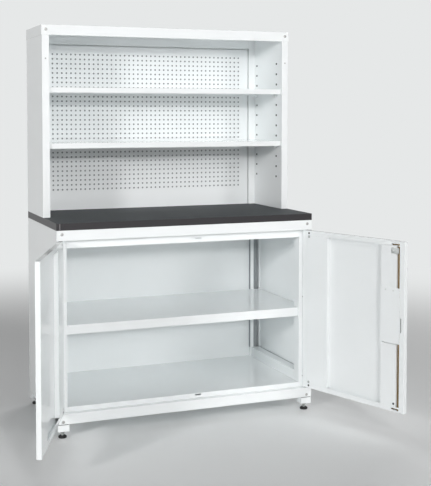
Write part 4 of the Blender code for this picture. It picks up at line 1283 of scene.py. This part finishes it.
@dataclass
class Studio:
    """Floor, air, lamps and camera."""

    floor_colour: str = "#F4F5F5"
    air_colour: str = "#E6E8E8"
    light_colour: str = "#FFFFFF"
    air_light: float = 0.10
    floor_half: float = 40.0
    floor_z: float = -0.0004
    bounces: int = 16
    fade_from: float = 2.2
    fade_to: float = 5.0
    lens_px: float = 1009.5
    yaw_deg: float = -21.723
    pitch_deg: float = 2.759
    shift_px: float = -80.0
    eye: Point = (-1.533305, -4.197759, 1.379)
    lamps: tuple[Lamp, ...] = (
        Lamp("left_softbox", (-7.37, -4.96, 2.8), 1.1, 284.0),
        Lamp("front_softbox", (-1.0, -15.8, 4.4), 1.1, 615.0),
        Lamp("high_softbox", (-0.6, -7.5, 5.2), 2.2, 130.0),
        Lamp("right_softbox", (4.5, -7.6, 2.8), 1.6, 142.0, False),
        Lamp("rear_softbox", (4.6, 5.2, 3.0), 4.0, 190.0, False),
    )

    def build(self) -> None:
        """Build the studio."""
        self.add_floor()
        self.add_air()
        for lamp in self.lamps:
            lamp.hang()
        self.add_camera()
        view = bpy.context.scene
        view.view_settings.view_transform = "Standard"
        # White insides pass light on many times, so the bounces aren't cut short
        view.cycles.max_bounces = self.bounces
        view.cycles.diffuse_bounces = self.bounces

    def seen_rays(self, tree: Tree) -> Socket:
        """Add what tells rays that show the background from rays that only light.

        Args:
            tree: Node tree.

        Returns:
            A socket that is 1 for camera, glossy and transmission rays.
        """
        path = add_node(tree, "ShaderNodeLightPath").outputs
        first = joined(tree, "MAXIMUM", path["Is Camera Ray"], path["Is Glossy Ray"])
        return joined(tree, "MAXIMUM", first, path["Is Transmission Ray"])

    def add_floor(self) -> None:
        """Add the pale floor, which fades into the air's colour far from the stand."""
        shape = bmesh.new()
        bmesh.ops.create_grid(shape, x_segments=1, y_segments=1, size=self.floor_half)
        bmesh.ops.translate(shape, vec=(0.0, 0.0, self.floor_z), verts=shape.verts)
        mesh = bpy.data.meshes.new("studio_floor")
        shape.to_mesh(mesh)
        shape.free()
        material = bpy.data.materials.new("pale_matt_floor")
        material.use_nodes = True
        tree = material.node_tree
        tree.nodes.clear()
        place = add_node(tree, "ShaderNodeTexCoord").outputs["Object"]
        reach = add_node(tree, "ShaderNodeVectorMath", {"operation": "LENGTH"}, {0: place})
        ramp = {"interpolation_type": "SMOOTHSTEP", "From Min": self.fade_from, "From Max": self.fade_to}
        fade = add_node(tree, "ShaderNodeMapRange", ramp, {"Value": reach.outputs["Value"]})
        share = joined(tree, "MULTIPLY", fade.outputs["Result"], self.seen_rays(tree))
        matt = add_node(tree, "ShaderNodeBsdfDiffuse", {"Color": linear(self.floor_colour)})
        far = add_node(tree, "ShaderNodeEmission", {"Color": linear(self.air_colour), "Strength": 1.0})
        links = {0: share, 1: matt.outputs["BSDF"], 2: far.outputs["Emission"]}
        mix = add_node(tree, "ShaderNodeMixShader", links=links)
        add_node(tree, "ShaderNodeOutputMaterial", links={"Surface": mix.outputs["Shader"]})
        mesh.materials.append(material)
        floor = bpy.data.objects.new("studio_floor", mesh)
        bpy.context.scene.collection.objects.link(floor)

    def add_air(self) -> None:
        """Add the world: pale where it is seen, and an even soft light where it only lights."""
        world = bpy.data.worlds.new("studio_air")
        world.use_nodes = True
        tree = world.node_tree
        tree.nodes.clear()
        light = {"Color": linear(self.light_colour), "Strength": self.air_light}
        lit = add_node(tree, "ShaderNodeBackground", light)
        shown = add_node(tree, "ShaderNodeBackground", {"Color": linear(self.air_colour), "Strength": 1.0})
        links = {0: self.seen_rays(tree), 1: lit.outputs[0], 2: shown.outputs[0]}
        mix = add_node(tree, "ShaderNodeMixShader", links=links)
        add_node(tree, "ShaderNodeOutputWorld", links={"Surface": mix.outputs["Shader"]})
        bpy.context.scene.world = world

    def add_camera(self) -> None:
        """Add the camera at the photograph's angle."""
        data = bpy.data.cameras.new("photo_camera")
        data.sensor_width = SENSOR_MM
        data.lens = self.lens_px * SENSOR_MM / IMAGE_HIGH_PX
        data.shift_y = self.shift_px / IMAGE_HIGH_PX
        camera = bpy.data.objects.new("photo_camera", data)
        camera.location = self.eye
        tilt = math.radians(90.0 - self.pitch_deg)
        camera.rotation_euler = (tilt, 0.0, math.radians(self.yaw_deg))
        bpy.context.scene.collection.objects.link(camera)
        bpy.context.scene.camera = camera


def main() -> None:
    """Build the dressed stand and its studio."""
    logging.basicConfig(level=logging.INFO, format="%(name)s: %(message)s")
    for thing in list(bpy.data.objects):
        bpy.data.objects.remove(thing, do_unlink=True)
    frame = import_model()
    shop = Workshop(frame)
    Worktop(shop).build()
    Carcass(shop).build()
    Feet(shop).build()
    LeftDoor(shop, side=Side.LEFT, pivot=LEFT_PIVOT, open_deg=LEFT_OPEN_DEG).build()
    RightDoor(shop, side=Side.RIGHT, pivot=RIGHT_PIVOT, open_deg=RIGHT_OPEN_DEG).build()
    UpperUnit(shop).build()
    Studio().build()


if __name__ == "__main__":
    main()
